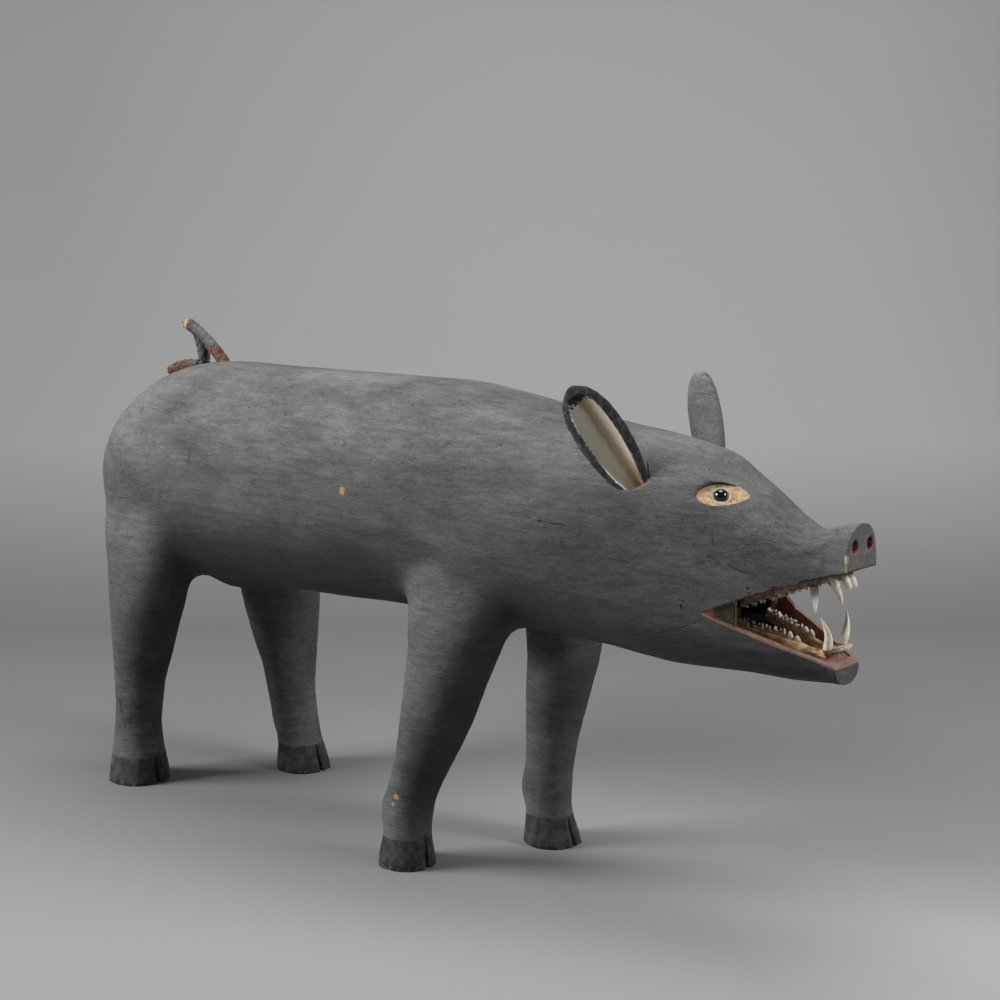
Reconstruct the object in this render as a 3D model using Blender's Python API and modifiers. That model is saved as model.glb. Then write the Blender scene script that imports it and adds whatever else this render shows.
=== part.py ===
"""A carved and painted wooden pig, standing with its mouth open.

Metres, +Z up, the head towards +X and the pig's right side towards -Y.
The origin is on the floor, midway between the rump and the snout.

The figure's outlines are in thousandths of its length. What is set into
the wood (glass eyes, ears, rope tail, jawbones and tusks) has real sizes.
"""
import math

import bmesh
import bpy
import numpy as np
from mathutils import Matrix, Vector

# Driving sizes, in metres
LENGTH = 1.190
CLEARANCE = 0.0003

EYE_DIAMETER = 0.016
EYE_SUNK = 0.0142
EYELID_LENGTH = 0.056
EYELID_HEIGHT = 0.030
EYELID_DEPTH = 0.0050

EAR_LENGTH = 0.128
EAR_WIDTH = 0.060
EAR_THICKNESS = 0.019
EAR_RIM = 0.0088
EAR_HOLLOW = 0.012
EAR_TENON = 0.020

NOSTRIL_WIDTH = 0.0140
NOSTRIL_HEIGHT = 0.0175
NOSTRIL_DEPTH = 0.016

ROPE_DIAMETER = 0.0180
ROPE_FACES_KEPT = 0.11
TAIL_FIT = 3.2

CLEFT_WIDTH = 0.010
CLEFT_DEPTH = 0.034
CLEFT_HEIGHT = 0.036

LIP_WALL = 0.0075
CHEEK_RECESS = 0.0050
CHEEK_WALL = 0.0080

TUSK_DIAMETER = 0.0098
TUSK_HEIGHT = 0.036
CANINE_DIAMETER = 0.0088
CANINE_HEIGHT = 0.026
TOOTH_ROOT = 0.007
CHEEK_TEETH = 9
CUSP_HEIGHT = 0.0075
BONE_VOXEL = 0.0016
LOWER_BONE_KEPT = 0.045
UPPER_BONE_KEPT = 0.027

# Outlines of the trunk and head: (distance forward, value), in thousandths
BACK = [(-500, 358), (-497, 385), (-492, 406), (-475, 438), (-445, 463), (-403, 485),
        (-361, 496), (-315, 499.5), (-210, 498.5), (-67, 498.5), (34, 498.5), (86, 492.5),
        (124, 487.5), (163, 480.5), (210, 472.5), (249, 467.5), (283, 464), (318, 458),
        (349, 451), (370, 437.5), (394, 423), (426, 403), (445, 394.5), (458, 390.5),
        (470, 394), (482, 399), (500, 402.5), (518, 404)]
BELLY = [(-500, 358), (-497, 332), (-492, 314), (-475, 286), (-445, 265), (-403, 252),
         (-361, 247), (-277, 248), (-193, 250.5), (-109, 253.5), (-25, 257.5), (101, 258),
         (218, 257), (250, 256.5), (294, 253), (330, 251.5), (370, 253.5), (403, 255.5),
         (445, 254), (500, 256), (518, 256)]
HALF_WIDTH = [(-500, 2), (-497, 35), (-492, 52), (-475, 76), (-445, 95), (-403, 107),
              (-361, 112), (-235, 113), (-67, 113), (59, 110), (118, 105), (185, 97),
              (235, 89), (286, 80.5), (336, 71.5), (370, 64), (403, 56), (437, 45),
              (455, 38), (470, 31), (483, 27), (500, 26.2), (518, 26.2)]
SQUARENESS = [(-500, 2.0), (-300, 2.2), (100, 2.2), (250, 2.5), (330, 2.8), (400, 3.2),
              (460, 3.0), (500, 3.3), (518, 3.3)]

# Legs: (height, distance forward, radius), in thousandths, from the top down
LEGS = {
    "right_front": (-75, [(400, 92, 44), (330, 95, 52), (290, 97, 54), (248, 93, 49),
                          (204, 78.5, 42), (161, 66, 37.5), (138, 57, 34), (115, 48, 31),
                          (92, 37, 28), (69, 29, 25.5), (46, 25, 24.5), (24, 23, 26.5),
                          (0, 22, 31), (-10, 22, 32)]),
    "left_front": (75, [(400, 96, 42), (330, 104, 48), (270, 110, 46), (224, 110, 40),
                        (202, 109, 38), (179, 104, 35.5), (156, 101, 33), (134, 97, 30),
                        (112, 94, 28), (89, 92, 26), (66, 90, 25), (44, 90, 24.5),
                        (22, 92, 26.5), (0, 96, 32), (-10, 97, 33)]),
    "right_rear": (-79, [(400, -383, 55), (330, -387, 66), (270, -387, 52.5), (220, -392, 46),
                         (196, -397, 41), (171, -401, 37.5), (146, -406, 33.5),
                         (121, -411, 30), (96, -413, 28), (71, -417, 27.5), (46, -418, 29.5),
                         (21, -418, 33.5), (0, -417, 37), (-10, -417, 38)]),
    "left_rear": (79, [(400, -363, 55), (330, -354, 64), (260, -342, 54), (202, -335, 47),
                       (177, -331, 42), (153, -328, 38), (129, -323, 33),
                       (104, -321, 29.5), (80, -316.5, 27.5), (55, -310.5, 26.5), (31, -306, 27.5),
                       (7, -301, 32.5), (-10, -300, 34)]),
}
LEG_LEAN = 0.30
LEAN_FROM = 280
LEG_FLATNESS = ((160, 290, 400), (0.98, 0.76, 0.62))
LEG_SPREAD = 0.6

# Mouth in the side view, in thousandths: (forward, height)
MOUTH_CORNER = (376, 315)
UPPER_LIP = [(441, 343), (500, 361), (530, 370)]
LOWER_LIP = (489, 275)
CHEEK_FRONT = 405
LEFT_CHEEK_NOTCH = 20
THROAT = 330
THROAT_NARROWING = 0.72
THROAT_BELOW_LIP = 14
THROAT_ABOVE_LIP = 4
JAW_TIP = 489
JAW_TIP_HALF_WIDTH = 19.5
JAW_FLAT_LENGTH = 26
SNOUT_FACE = 500

# Trimming cuts, in thousandths: how far they reach past the wood, and the band of the head
CUT_BEYOND = 60
TRIM_HALF_WIDTH = 100
HEAD_BAND = (200, 500)
FLOOR_HALF_SIZE = (600, 300)

# Places of the set-in pieces, in thousandths; the far eye (+Y) was cut lower than the near one
EYE_PLACES = {-1: (381.5, 421), 1: (381.5, 405)}
EYE_LEAD = (1.5, 0.3)
EAR_FOOT = (304, 65, 422)
EAR_TIP = (255.5, 101.5, 512)
EAR_FACING = (0.22, 0.96, 0.12)
NOSTRIL_PLACE = (12.6, 382)

VOXEL = 6.5
SOFTENING = 50
JOIN_HEIGHT = 312
JOIN_REACH = (115, 100)
FACES_KEPT = 0.062
LOFT_SIDES = 40
EAR_SIDES = 14


def mil(value):
    """A length from thousandths of the pig's length."""
    return value * LENGTH / 1000


def smooth_curve(table, stations):
    """Values of a table at the stations, on a monotone cubic through its points."""
    points = np.array(table, float)
    xs, ys = points[:, 0], points[:, 1]
    step = np.diff(xs)
    slope = np.diff(ys) / step
    tangent = np.zeros(len(xs))
    for i in range(1, len(xs) - 1):
        if slope[i - 1] * slope[i] > 0:
            before = 2 * step[i] + step[i - 1]
            after = step[i] + 2 * step[i - 1]
            tangent[i] = (before + after) / (before / slope[i - 1] + after / slope[i])
    tangent[0], tangent[-1] = slope[0], slope[-1]
    stations = np.clip(np.asarray(stations, float), xs[0], xs[-1])
    k = np.clip(np.searchsorted(xs, stations, side="right") - 1, 0, len(step) - 1)
    t = (stations - xs[k]) / step[k]
    return ((1 + 2 * t) * (1 - t) ** 2 * ys[k] + t * (1 - t) ** 2 * step[k] * tangent[k]
            + t ** 2 * (3 - 2 * t) * ys[k + 1] + t ** 2 * (t - 1) * step[k] * tangent[k + 1])


def table_value(table, x):
    return float(smooth_curve(table, [x])[0])


def signed_power(value, power):
    return math.copysign(abs(value) ** power, value)


def oval(half_width, half_height, squareness=2.0, sides=LOFT_SIDES):
    """Points of a superellipse, anticlockwise from its right end."""
    points = []
    for i in range(sides):
        angle = 2 * math.pi * i / sides
        points.append((half_width * signed_power(math.cos(angle), 2 / squareness),
                       half_height * signed_power(math.sin(angle), 2 / squareness)))
    return points


def paint(name, colour, roughness=0.8, metallic=0.0):
    material = bpy.data.materials.new(name)
    material.use_nodes = True
    shader = material.node_tree.nodes["Principled BSDF"]
    shader.inputs["Base Color"].default_value = (*colour, 1)
    shader.inputs["Roughness"].default_value = roughness
    shader.inputs["Metallic"].default_value = metallic
    return material


def new_object(name, mesh, collection, material=None):
    obj = bpy.data.objects.new(name, mesh)
    collection.objects.link(obj)
    if material:
        mesh.materials.append(material)
    return obj


def mesh_from(name, build):
    """A mesh filled by build(bm), with its faces turned outwards."""
    bm = bmesh.new()
    build(bm)
    bmesh.ops.triangulate(bm, faces=bm.faces)
    bmesh.ops.recalc_face_normals(bm, faces=bm.faces)
    mesh = bpy.data.meshes.new(name)
    bm.to_mesh(mesh)
    bm.free()
    return mesh


def loft_into(bm, rings):
    """A closed skin over rings of equal length, in order along the piece."""
    rows = [[bm.verts.new(p) for p in ring] for ring in rings]
    count = len(rows[0])
    for near, far in zip(rows, rows[1:]):
        for i in range(count):
            j = (i + 1) % count
            bm.faces.new((near[i], near[j], far[j], far[i]))
    for ring in (rows[0], rows[-1]):
        bm.faces.new(ring)


def loft(name, rings):
    return mesh_from(name, lambda bm: loft_into(bm, rings))


def finished(obj):
    """The object's mesh with its modifiers carried out, in world space."""
    graph = bpy.context.evaluated_depsgraph_get()
    graph.update()
    mesh = bpy.data.meshes.new_from_object(obj.evaluated_get(graph))
    mesh.transform(obj.matrix_world)
    return mesh


def add_boolean(obj, other, operation="DIFFERENCE"):
    modifier = obj.modifiers.new(f"{operation.lower()} {other.name}", "BOOLEAN")
    modifier.operation = operation
    modifier.solver = "EXACT"
    modifier.object = other
    return modifier


def cutter(name, mesh):
    obj = new_object(name, mesh, CUTTERS)
    obj.hide_render = True
    obj.display_type = "WIRE"
    return obj


def start():
    """Empty the scene and make the two collections."""
    for obj in list(bpy.data.objects):
        bpy.data.objects.remove(obj, do_unlink=True)
    parts = bpy.data.collections.new("carved_wooden_pig")
    cutters = bpy.data.collections.new("cutters")
    for collection in (parts, cutters):
        bpy.context.scene.collection.children.link(collection)
    return parts, cutters


PARTS, CUTTERS = start()

GREY = paint("grey sawdust paint", (0.105, 0.112, 0.120), 0.85)
CREAM = paint("cream ear paint", (0.62, 0.58, 0.48), 0.7)
GLASS = paint("black glass", (0.004, 0.004, 0.005), 0.05)
BONE = paint("old bone", (0.45, 0.34, 0.20), 0.55)
IVORY = paint("tooth enamel", (0.80, 0.75, 0.64), 0.35)
ROPE = paint("coated rope", (0.15, 0.12, 0.10), 0.9)


# Body: trunk, head and legs, carved as one

def head_and_trunk_rings():
    stations = np.concatenate([
        np.array([-500, -499, -497, -492, -484]),
        np.linspace(-474, 220, 40), np.linspace(230, 518, 36)])
    tops = smooth_curve(BACK, stations)
    bottoms = smooth_curve(BELLY, stations)
    widths = smooth_curve(HALF_WIDTH, stations)
    powers = smooth_curve(SQUARENESS, stations)
    rings = []
    for x, top, bottom, width, power in zip(stations, tops, bottoms, widths, powers):
        middle = (top + bottom) / 2
        height = max(top - middle, 2)
        section = oval(width, height, power)
        rings.append([(mil(x), mil(y), mil(middle + z)) for y, z in section])
    return rings


def leg_rings(side, stations):
    """Rings from the hip or shoulder down; the top leans in under the trunk's side."""
    table = sorted(stations)
    heights = np.linspace(table[-1][0], table[0][0], 26)
    forward = smooth_curve([(h, x) for h, x, _ in table], heights)
    radii = smooth_curve([(h, r) for h, _, r in table], heights)
    rings = []
    for height, x, radius in zip(heights, forward, radii):
        lean = -math.copysign(LEG_LEAN * max(height - LEAN_FROM, 0), side)
        flat = float(np.interp(height, *LEG_FLATNESS))
        section = oval(radius * (1 + LEG_SPREAD * (1 - flat)), radius * flat, 2.15, 24)
        rings.append([(mil(x + a), mil(side + lean + b), mil(height)) for a, b in section])
    return rings


def sheath_rings():
    """The low ridge along the belly, thicker at its rear."""
    table = [(-372, 240, 4), (-366, 236, 10), (-350, 233, 14), (-325, 231, 14),
             (-290, 233, 12), (-250, 237, 10), (-232, 242, 6), (-226, 246, 3)]
    rings = []
    for x, bottom, width in table:
        middle = bottom + 12
        section = oval(width, 12, 2.0, 16)
        rings.append([(mil(x), mil(y), mil(middle + z)) for y, z in section])
    return rings


def dewclaw_rings(leg, side_shift):
    """A small wedge behind the pastern, growing downwards to a blunt end."""
    side, stations = LEGS[leg]
    table = sorted(stations)
    rings = []
    for height, reach in ((98, 1), (80, 6), (62, 10), (50, 12), (46, 11.5)):
        x = float(smooth_curve([(h, f) for h, f, _ in table], [height])[0])
        radius = float(smooth_curve([(h, r) for h, _, r in table], [height])[0])
        section = oval(reach, 6, 2.4, 12)
        rings.append([(mil(x - radius * 0.80 + a), mil(side + side_shift + b), mil(height))
                      for a, b in section])
    return rings


def join_weight(place):
    """How much the carver softens a place: most where a leg runs into the trunk."""
    weight = float(np.interp(place.x, (200, 320), (0.14, 0.04)))
    for side, stations in LEGS.values():
        if place.y * side <= 0:
            continue
        forward = table_value([(h, x) for h, x, _ in sorted(stations)], JOIN_HEIGHT)
        far = math.hypot((place.x - forward) / JOIN_REACH[0], (place.z - JOIN_HEIGHT) / JOIN_REACH[1])
        weight = max(weight, float(np.interp(far, (0.6, 1.0), (1.0, 0.14))))
    return weight


def carve_body():
    def blanks(bm):
        loft_into(bm, head_and_trunk_rings())
        for side, stations in LEGS.values():
            loft_into(bm, leg_rings(side, stations))
        loft_into(bm, sheath_rings())
        for leg in ("right_front", "left_front", "left_rear"):
            for shift in (-13, 13):
                loft_into(bm, dewclaw_rings(leg, shift))

    rough = new_object("rough blank", mesh_from("rough blank", blanks), CUTTERS)
    remesh = rough.modifiers.new("one skin", "REMESH")
    remesh.mode = "VOXEL"
    remesh.voxel_size = mil(VOXEL)
    skin = finished(rough)
    bpy.data.objects.remove(rough)

    body = new_object("body", skin, PARTS, GREY)
    skin.shade_smooth()
    joins = body.vertex_groups.new(name="leg joins")
    for vertex in skin.vertices:
        joins.add([vertex.index], join_weight(vertex.co / mil(1)), "REPLACE")
    soften = body.modifiers.new("soften joins", "SMOOTH")
    soften.factor = 0.5
    soften.iterations = SOFTENING
    soften.vertex_group = joins.name
    fewer = body.modifiers.new("fewer faces", "DECIMATE")
    fewer.ratio = FACES_KEPT
    return body


def box_between(name, low, high):
    """A box cutter from its lowest and highest corners, in thousandths."""
    low, high = Vector(map(mil, low)), Vector(map(mil, high))

    def build(bm):
        bmesh.ops.create_cube(bm, size=1)
        bmesh.ops.scale(bm, vec=high - low, verts=bm.verts)
        bmesh.ops.translate(bm, vec=(high + low) / 2, verts=bm.verts)

    return cutter(name, mesh_from(name, build))


def side_prism(name, outline, half_width):
    """A side-view outline in thousandths, drawn across the whole head."""
    rings = [[(mil(x), y, mil(z)) for x, z in outline] for y in (-half_width, half_width)]
    return cutter(name, loft(name, rings))


def jaw_tip_cutters():
    """The lower jaw ends in a flat face, with a flat cut on each side of it."""
    low, high = HEAD_BAND[0], MOUTH_CORNER[1]
    tip = box_between("jaw tip", (JAW_TIP, -TRIM_HALF_WIDTH, low),
                      (SNOUT_FACE + CUT_BEYOND, TRIM_HALF_WIDTH, high))
    start = JAW_TIP - JAW_FLAT_LENGTH
    wide = float(smooth_curve(HALF_WIDTH, [start])[0])
    sides = []
    for name, side in (("right jaw flat", -1), ("left jaw flat", 1)):
        plan = [(start, wide), (JAW_TIP + 1, JAW_TIP_HALF_WIDTH - 0.4), (JAW_TIP + 1, CUT_BEYOND),
                (start, CUT_BEYOND)]
        rings = [[(mil(x), side * mil(y), mil(z)) for x, y in plan] for z in (low, high)]
        sides.append(cutter(name, loft(name, rings)))
    return [tip, *sides]


def lower_lip_height(x):
    corner_x, corner_z = MOUTH_CORNER
    tip_x, tip_z = LOWER_LIP
    return corner_z + (x - corner_x) * (tip_z - corner_z) / (tip_x - corner_x)


def upper_lip_height(x):
    points = [MOUTH_CORNER, *UPPER_LIP]
    return float(np.interp(x, [p[0] for p in points], [p[1] for p in points]))


def half_width_at(x, z):
    """Half the head's width at a height, in thousandths."""
    top, bottom = (float(smooth_curve(t, [x])[0]) for t in (BACK, BELLY))
    width = float(smooth_curve(HALF_WIDTH, [x])[0])
    power = float(smooth_curve(SQUARENESS, [x])[0])
    share = min(abs(z - (top + bottom) / 2) / ((top - bottom) / 2), 1)
    return width * (1 - share ** power) ** (1 / power)


def mouth_cutters():
    """The open mouth: through at the front, a shallow recess at the cheeks."""
    front = UPPER_LIP[-1][0]
    bends = [p for p in reversed(UPPER_LIP) if p[0] > CHEEK_FRONT]
    gap = [(CHEEK_FRONT, lower_lip_height(CHEEK_FRONT)), (front, lower_lip_height(front)),
           *bends, (CHEEK_FRONT, upper_lip_height(CHEEK_FRONT))]
    cutters = [side_prism("mouth opening", gap, 0.2)]

    corner_x, corner_z = MOUTH_CORNER
    for name, side in (("right cheek", -1), ("left cheek", 1)):
        middle = (lower_lip_height(CHEEK_FRONT) + upper_lip_height(CHEEK_FRONT)) / 2
        at_front = mil(half_width_at(CHEEK_FRONT, middle)) - CHEEK_RECESS
        at_corner = mil(half_width_at(corner_x, corner_z)) - CHEEK_RECESS * 0.2
        ahead = CHEEK_FRONT + 1.5
        step = 0.4
        shape = [(corner_x + step, corner_z, at_corner),
                 (ahead, lower_lip_height(ahead) + step, at_front),
                 (ahead, upper_lip_height(ahead) - step, at_front)]
        rings = [[(mil(x), side * y, mil(z)) for x, z, y in shape],
                 [(mil(x), side * 0.2, mil(z)) for x, z, y in shape]]
        cutters.append(cutter(name, loft(name, rings)))

    notch = [(CHEEK_FRONT - LEFT_CHEEK_NOTCH, upper_lip_height(CHEEK_FRONT - LEFT_CHEEK_NOTCH) + step),
             (CHEEK_FRONT + 1, lower_lip_height(CHEEK_FRONT + 1) + step),
             (CHEEK_FRONT + 1, upper_lip_height(CHEEK_FRONT + 1) + step)]
    rings = [[(mil(x), y, mil(z)) for x, z in notch] for y in (0.02, 0.19)]
    cutters.append(cutter("left cheek notch", loft("left cheek notch", rings)))

    inner_front = half_width_at(CHEEK_FRONT, MOUTH_CORNER[1]) - (CHEEK_RECESS + CHEEK_WALL) / mil(1)
    low = lower_lip_height(CHEEK_FRONT) - THROAT_BELOW_LIP
    high = upper_lip_height(CHEEK_FRONT) + THROAT_ABOVE_LIP
    throat = []
    for x, width in ((THROAT, inner_front * THROAT_NARROWING), (CHEEK_FRONT + 2, inner_front)):
        section = oval(width, (high - low) / 2, 3.0, 20)
        throat.append([(mil(x), mil(y), mil((high + low) / 2 + z)) for y, z in section])
    cutters.append(cutter("throat", loft("throat", throat)))
    return cutters


def channel_floor(x):
    """Height of the bottom of the lower jaw's hollow, in thousandths."""
    return lower_lip_height(x) - 6 - (482 - x) * 0.1


def channel_roof(x):
    """Height of the top of the upper jaw's hollow, in thousandths."""
    return upper_lip_height(x) + 7


def channel_half_width(x, z):
    return half_width_at(x, z) - LIP_WALL / mil(1)


def jaw_stations(rear, front, count=6):
    """Even stations along a jaw, with one at the bend of the upper lip."""
    return np.unique(np.append(np.linspace(rear, front, count), UPPER_LIP[0][0]))


def channel_rings(rear, front, low, high):
    """Sections of a jaw's hollow: it narrows with the jaw and keeps the lip wall."""
    rings = []
    for x in jaw_stations(rear, front):
        bottom, top = low(x), high(x)
        width = channel_half_width(x, (bottom + top) / 2)
        section = [(-width, bottom), (width, bottom), (width, top), (-width, top)]
        rings.append([(mil(x), mil(y), mil(z)) for y, z in section])
    return rings


def jaw_channels():
    lower = channel_rings(CHEEK_FRONT - 20, JAW_TIP - 7, channel_floor,
                          lambda x: lower_lip_height(x) + 6)
    upper = channel_rings(CHEEK_FRONT - 14, SNOUT_FACE - 9,
                          lambda x: upper_lip_height(x) - 6, channel_roof)
    return [cutter("lower jaw hollow", loft("lower jaw hollow", lower)),
            cutter("upper jaw hollow", loft("upper jaw hollow", upper))]


def nostril_cutters():
    across, height = NOSTRIL_PLACE
    cutters = []
    for name, side in (("right nostril", -1), ("left nostril", 1)):
        rings = []
        for x, size in ((mil(SNOUT_FACE) - NOSTRIL_DEPTH, 0.55), (mil(SNOUT_FACE) + 0.01, 1.0)):
            section = oval(NOSTRIL_WIDTH / 2 * size, NOSTRIL_HEIGHT / 2 * size, 2.0, 16)
            rings.append([(x, side * mil(across) + y, mil(height) + z) for y, z in section])
        cutters.append(cutter(name, loft(name, rings)))
    return cutters


def cleft_cutters():
    """A slot up the front of each hoof, between its two toes."""
    cutters = []
    for leg, (side, stations) in LEGS.items():
        foot = next((x, r) for h, x, r in stations if h <= 8)
        front = mil(foot[0] + foot[1])
        rings = []
        for z, wide in ((-0.02, 1.0), (CLEFT_HEIGHT * 0.5, 0.8), (CLEFT_HEIGHT, 0.25)):
            half = CLEFT_WIDTH / 2 * wide
            back = front - CLEFT_DEPTH * (1.0 if z < CLEFT_HEIGHT else 0.6)
            rings.append([(back, mil(side) - half * 0.4, z), (front + 0.02, mil(side) - half, z),
                          (front + 0.02, mil(side) + half, z), (back, mil(side) + half * 0.4, z)])
        cutters.append(cutter(f"{leg} cleft", loft(f"{leg} cleft", rings)))
    return cutters


# Eyes

def eye_frame(side):
    """A frame on the head's surface at an eye: its Z axis points out of the head."""
    x, z = EYE_PLACES[side]
    step = 6

    def point(px, pz):
        return Vector((mil(px), side * mil(half_width_at(px, pz)), mil(pz)))

    centre = point(x, z)
    along = (point(x + step, z) - point(x - step, z)).normalized()
    upward = (point(x, z + step) - point(x, z - step)).normalized()
    outward = along.cross(upward) * -side
    outward.normalize()
    upward = outward.cross(along) * -side
    return centre, along, upward.normalized(), outward


def eyelid_outline(count=18):
    """An almond, pointed front and back, set a little ahead of the eyeball."""
    points = []
    for i in range(count):
        share = 2 * math.pi * i / count
        x = EYELID_LENGTH / 2 * math.cos(share) + mil(EYE_LEAD[0])
        bulge = math.sin(share)
        y = EYELID_HEIGHT / 2 * math.copysign(abs(bulge) ** 1.2, bulge) + mil(EYE_LEAD[1])
        points.append((x, y))
    return points


def eye_cutters():
    cutters = []
    for name, side in (("right", -1), ("left", 1)):
        centre, along, upward, outward = eye_frame(side)
        rings = []
        for depth in (-EYELID_DEPTH, 0.02):
            rings.append([centre + along * x + upward * y + outward * depth
                          for x, y in eyelid_outline()])
        cutters.append(cutter(f"{name} eyelid", loft(f"{name} eyelid", rings)))
        cutters.append(cutter(f"{name} eye socket",
                              ball(f"{name} eye socket", EYE_DIAMETER / 2 + CLEARANCE, side)))
    return cutters


def ball(name, radius, side):
    centre, _, _, outward = eye_frame(side)
    centre = centre + outward * (EYE_DIAMETER / 2 - EYE_SUNK)

    def build(bm):
        bmesh.ops.create_uvsphere(bm, u_segments=14, v_segments=8, radius=radius)
        bmesh.ops.translate(bm, vec=centre, verts=bm.verts)

    return mesh_from(name, build)


def make_eyes():
    for name, side in (("right_eye", -1), ("left_eye", 1)):
        mesh = ball(name, EYE_DIAMETER / 2, side)
        mesh.shade_smooth()
        new_object(name, mesh, PARTS, GLASS)


# Ears

EAR_OUTLINE = [(0.0, 0.55), (0.1, 0.73), (0.25, 0.90), (0.5, 1.0), (0.7, 0.95), (0.85, 0.77),
               (0.94, 0.52), (1.0, 0.10)]


def ear_matrix(side):
    """Z runs from the ear's foot to its tip, and -Y is where its hollow faces."""
    foot = Vector((mil(EAR_FOOT[0]), side * mil(EAR_FOOT[1]), mil(EAR_FOOT[2])))
    tip = Vector((mil(EAR_TIP[0]), side * mil(EAR_TIP[1]), mil(EAR_TIP[2])))
    axis = (tip - foot).normalized()
    facing = Vector((EAR_FACING[0], side * EAR_FACING[1], EAR_FACING[2]))
    back = -(facing - axis * facing.dot(axis)).normalized()
    across = back.cross(axis)
    matrix = Matrix((across, back, axis)).transposed().to_4x4()
    matrix.translation = foot
    return matrix


def ear_rings(grow=0.0):
    """A leaf with a flat face and a rounded back, and a tenon below its foot."""
    rings = []
    shares = np.concatenate([[-EAR_TENON / EAR_LENGTH], np.linspace(0, 0.85, 8), (0.93, 0.975, 1)])
    widths = smooth_curve(EAR_OUTLINE, np.clip(shares, 0, 1)) * EAR_WIDTH / 2
    for share, width in zip(shares, widths):
        z = share * EAR_LENGTH + (-grow if share < 0 else grow if share == 1 else 0)
        depth = EAR_THICKNESS * math.sqrt(width / (EAR_WIDTH / 2))
        ring = []
        for i in range(EAR_SIDES):
            angle = 2 * math.pi * i / EAR_SIDES
            y = math.sin(angle)
            y = y * depth * 0.72 if y > 0 else y * depth * 0.28
            ring.append((math.cos(angle) * width, y))
        rings.append([(x * (1 + grow / width), y * (1 + 2 * grow / depth), z) for x, y in ring])
    return rings


def ear_hollow_rings():
    rings = []
    for share in np.linspace(-0.06, 0.92, 9):
        width = float(smooth_curve(EAR_OUTLINE, [share])[0]) * EAR_WIDTH / 2 - EAR_RIM
        width = max(width, 0.0012)
        depth = EAR_HOLLOW * max(1 - max(share - 0.25, 0) ** 2.2 * 1.3, 0.1)
        front = -EAR_THICKNESS * 0.5
        section = oval(width, depth - front, 2.2, 14)
        rings.append([(x, front + (y if y > 0 else 0.4 * y) - 0.002, share * EAR_LENGTH)
                      for x, y in section])
    return rings


def make_ears():
    hollow = loft("ear hollow", ear_hollow_rings())
    for name, side in (("right_ear", -1), ("left_ear", 1)):
        ear = new_object(name, loft(name, ear_rings()), PARTS, CREAM)
        ear.matrix_world = ear_matrix(side)
        bowl = cutter(f"{name} hollow", hollow)
        bowl.matrix_world = ear_matrix(side)
        add_boolean(ear, bowl)


def ear_seats():
    seats = []
    for name, side in (("right ear seat", -1), ("left ear seat", 1)):
        seat = cutter(name, loft(name, ear_rings(CLEARANCE * 1.5)))
        seat.matrix_world = ear_matrix(side)
        seats.append(seat)
    return seats


# Tail: a rope bent up and back on itself, its end lying on the rump

TAIL_UP = [(-331, 0, 488), (-340, 0, 500), (-365, 0, 520), (-392, 0, 536), (-403, 0, 540)]
TAIL_DOWN = [(-385, 1, 531), (-379, 2, 517), (-376, 2, 503), (-376, 3, 484)]
TAIL_LYING = [(-380, 0, 491), (-394, -3, 491), (-407, -5, 489.5), (-419, -6, 486), (-428, -6, 481.5)]


def rope_rings(path, radius, sides=12):
    """Rings of a rope along a smooth path through a few points."""
    points = [Vector(map(mil, p)) for p in path]
    lengths = [0.0]
    for a, b in zip(points, points[1:]):
        lengths.append(lengths[-1] + (b - a).length)
    steps = np.linspace(0, lengths[-1], max(4, int(lengths[-1] / (radius * 1.1))))
    line = [Vector([float(smooth_curve(list(zip(lengths, [p[k] for p in points])), [s])[0])
                    for k in range(3)]) for s in steps]
    rings = []
    for i, centre in enumerate(line):
        ahead = line[min(i + 1, len(line) - 1)]
        behind = line[max(i - 1, 0)]
        turn = (ahead - behind).to_track_quat("Z", "Y").to_matrix()
        rings.append([centre + turn @ Vector((x, y, 0)) for x, y in oval(radius, radius, 2, sides)])
    return rings


def make_tail():
    radius = ROPE_DIAMETER / 2

    def strands(bm):
        for path in (TAIL_UP, TAIL_DOWN, TAIL_LYING):
            loft_into(bm, rope_rings(path, radius))

    def rope(name, collection):
        obj = new_object(name, mesh_from(name, strands), collection, ROPE)
        remesh = obj.modifiers.new("one rope", "REMESH")
        remesh.mode = "VOXEL"
        remesh.voxel_size = ROPE_DIAMETER / 6
        soften = obj.modifiers.new("soften joins", "SMOOTH")
        soften.factor = 0.5
        soften.iterations = 2
        fewer = obj.modifiers.new("fewer faces", "DECIMATE")
        fewer.ratio = ROPE_FACES_KEPT
        return obj

    rope("tail", PARTS)
    seat = rope("tail seat", CUTTERS)
    seat.hide_render = True
    seat.display_type = "WIRE"
    swell = seat.modifiers.new("clearance", "DISPLACE")
    swell.strength = CLEARANCE * TAIL_FIT
    swell.mid_level = 0
    return seat


# Jawbones and their teeth

GUM_RISE = [(386, -9.5), (410, -5), (445, 0.5), (462, 1), (471, 6), (480, 9)]
LOWER_ROW = [(386, 27), (410, 20), (444, 12), (462, 10), (480, 9.5)]
UPPER_ROW = [(392, 30), (420, 24), (444, 18), (462, 14.5), (484, 9)]
STRIP_DROP = 6.5
BAR_HALF_WIDTH = 4.6
GUM_PAD = (454, 481)
GUM_PAD_GAP = 0.9
LOWER_TEETH = (391, 444)
UPPER_TEETH = (400, 448)
LOWER_FRONT_TEETH = (474, 494, (-9.5, -3.2, 3.2, 9.5))
UPPER_FRONT_TEETH = ((484, 4.8, 0.0160), (478, 12.5, 0.0125))
TUSK_BASE = (475, 11.5)
TUSK_TIP = (474, 22.4)
CANINE_BASE = (462, 15)
CANINE_TIP = (469, 23)


def gum_height(x):
    return lower_lip_height(x) + table_value(GUM_RISE, x)


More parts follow.
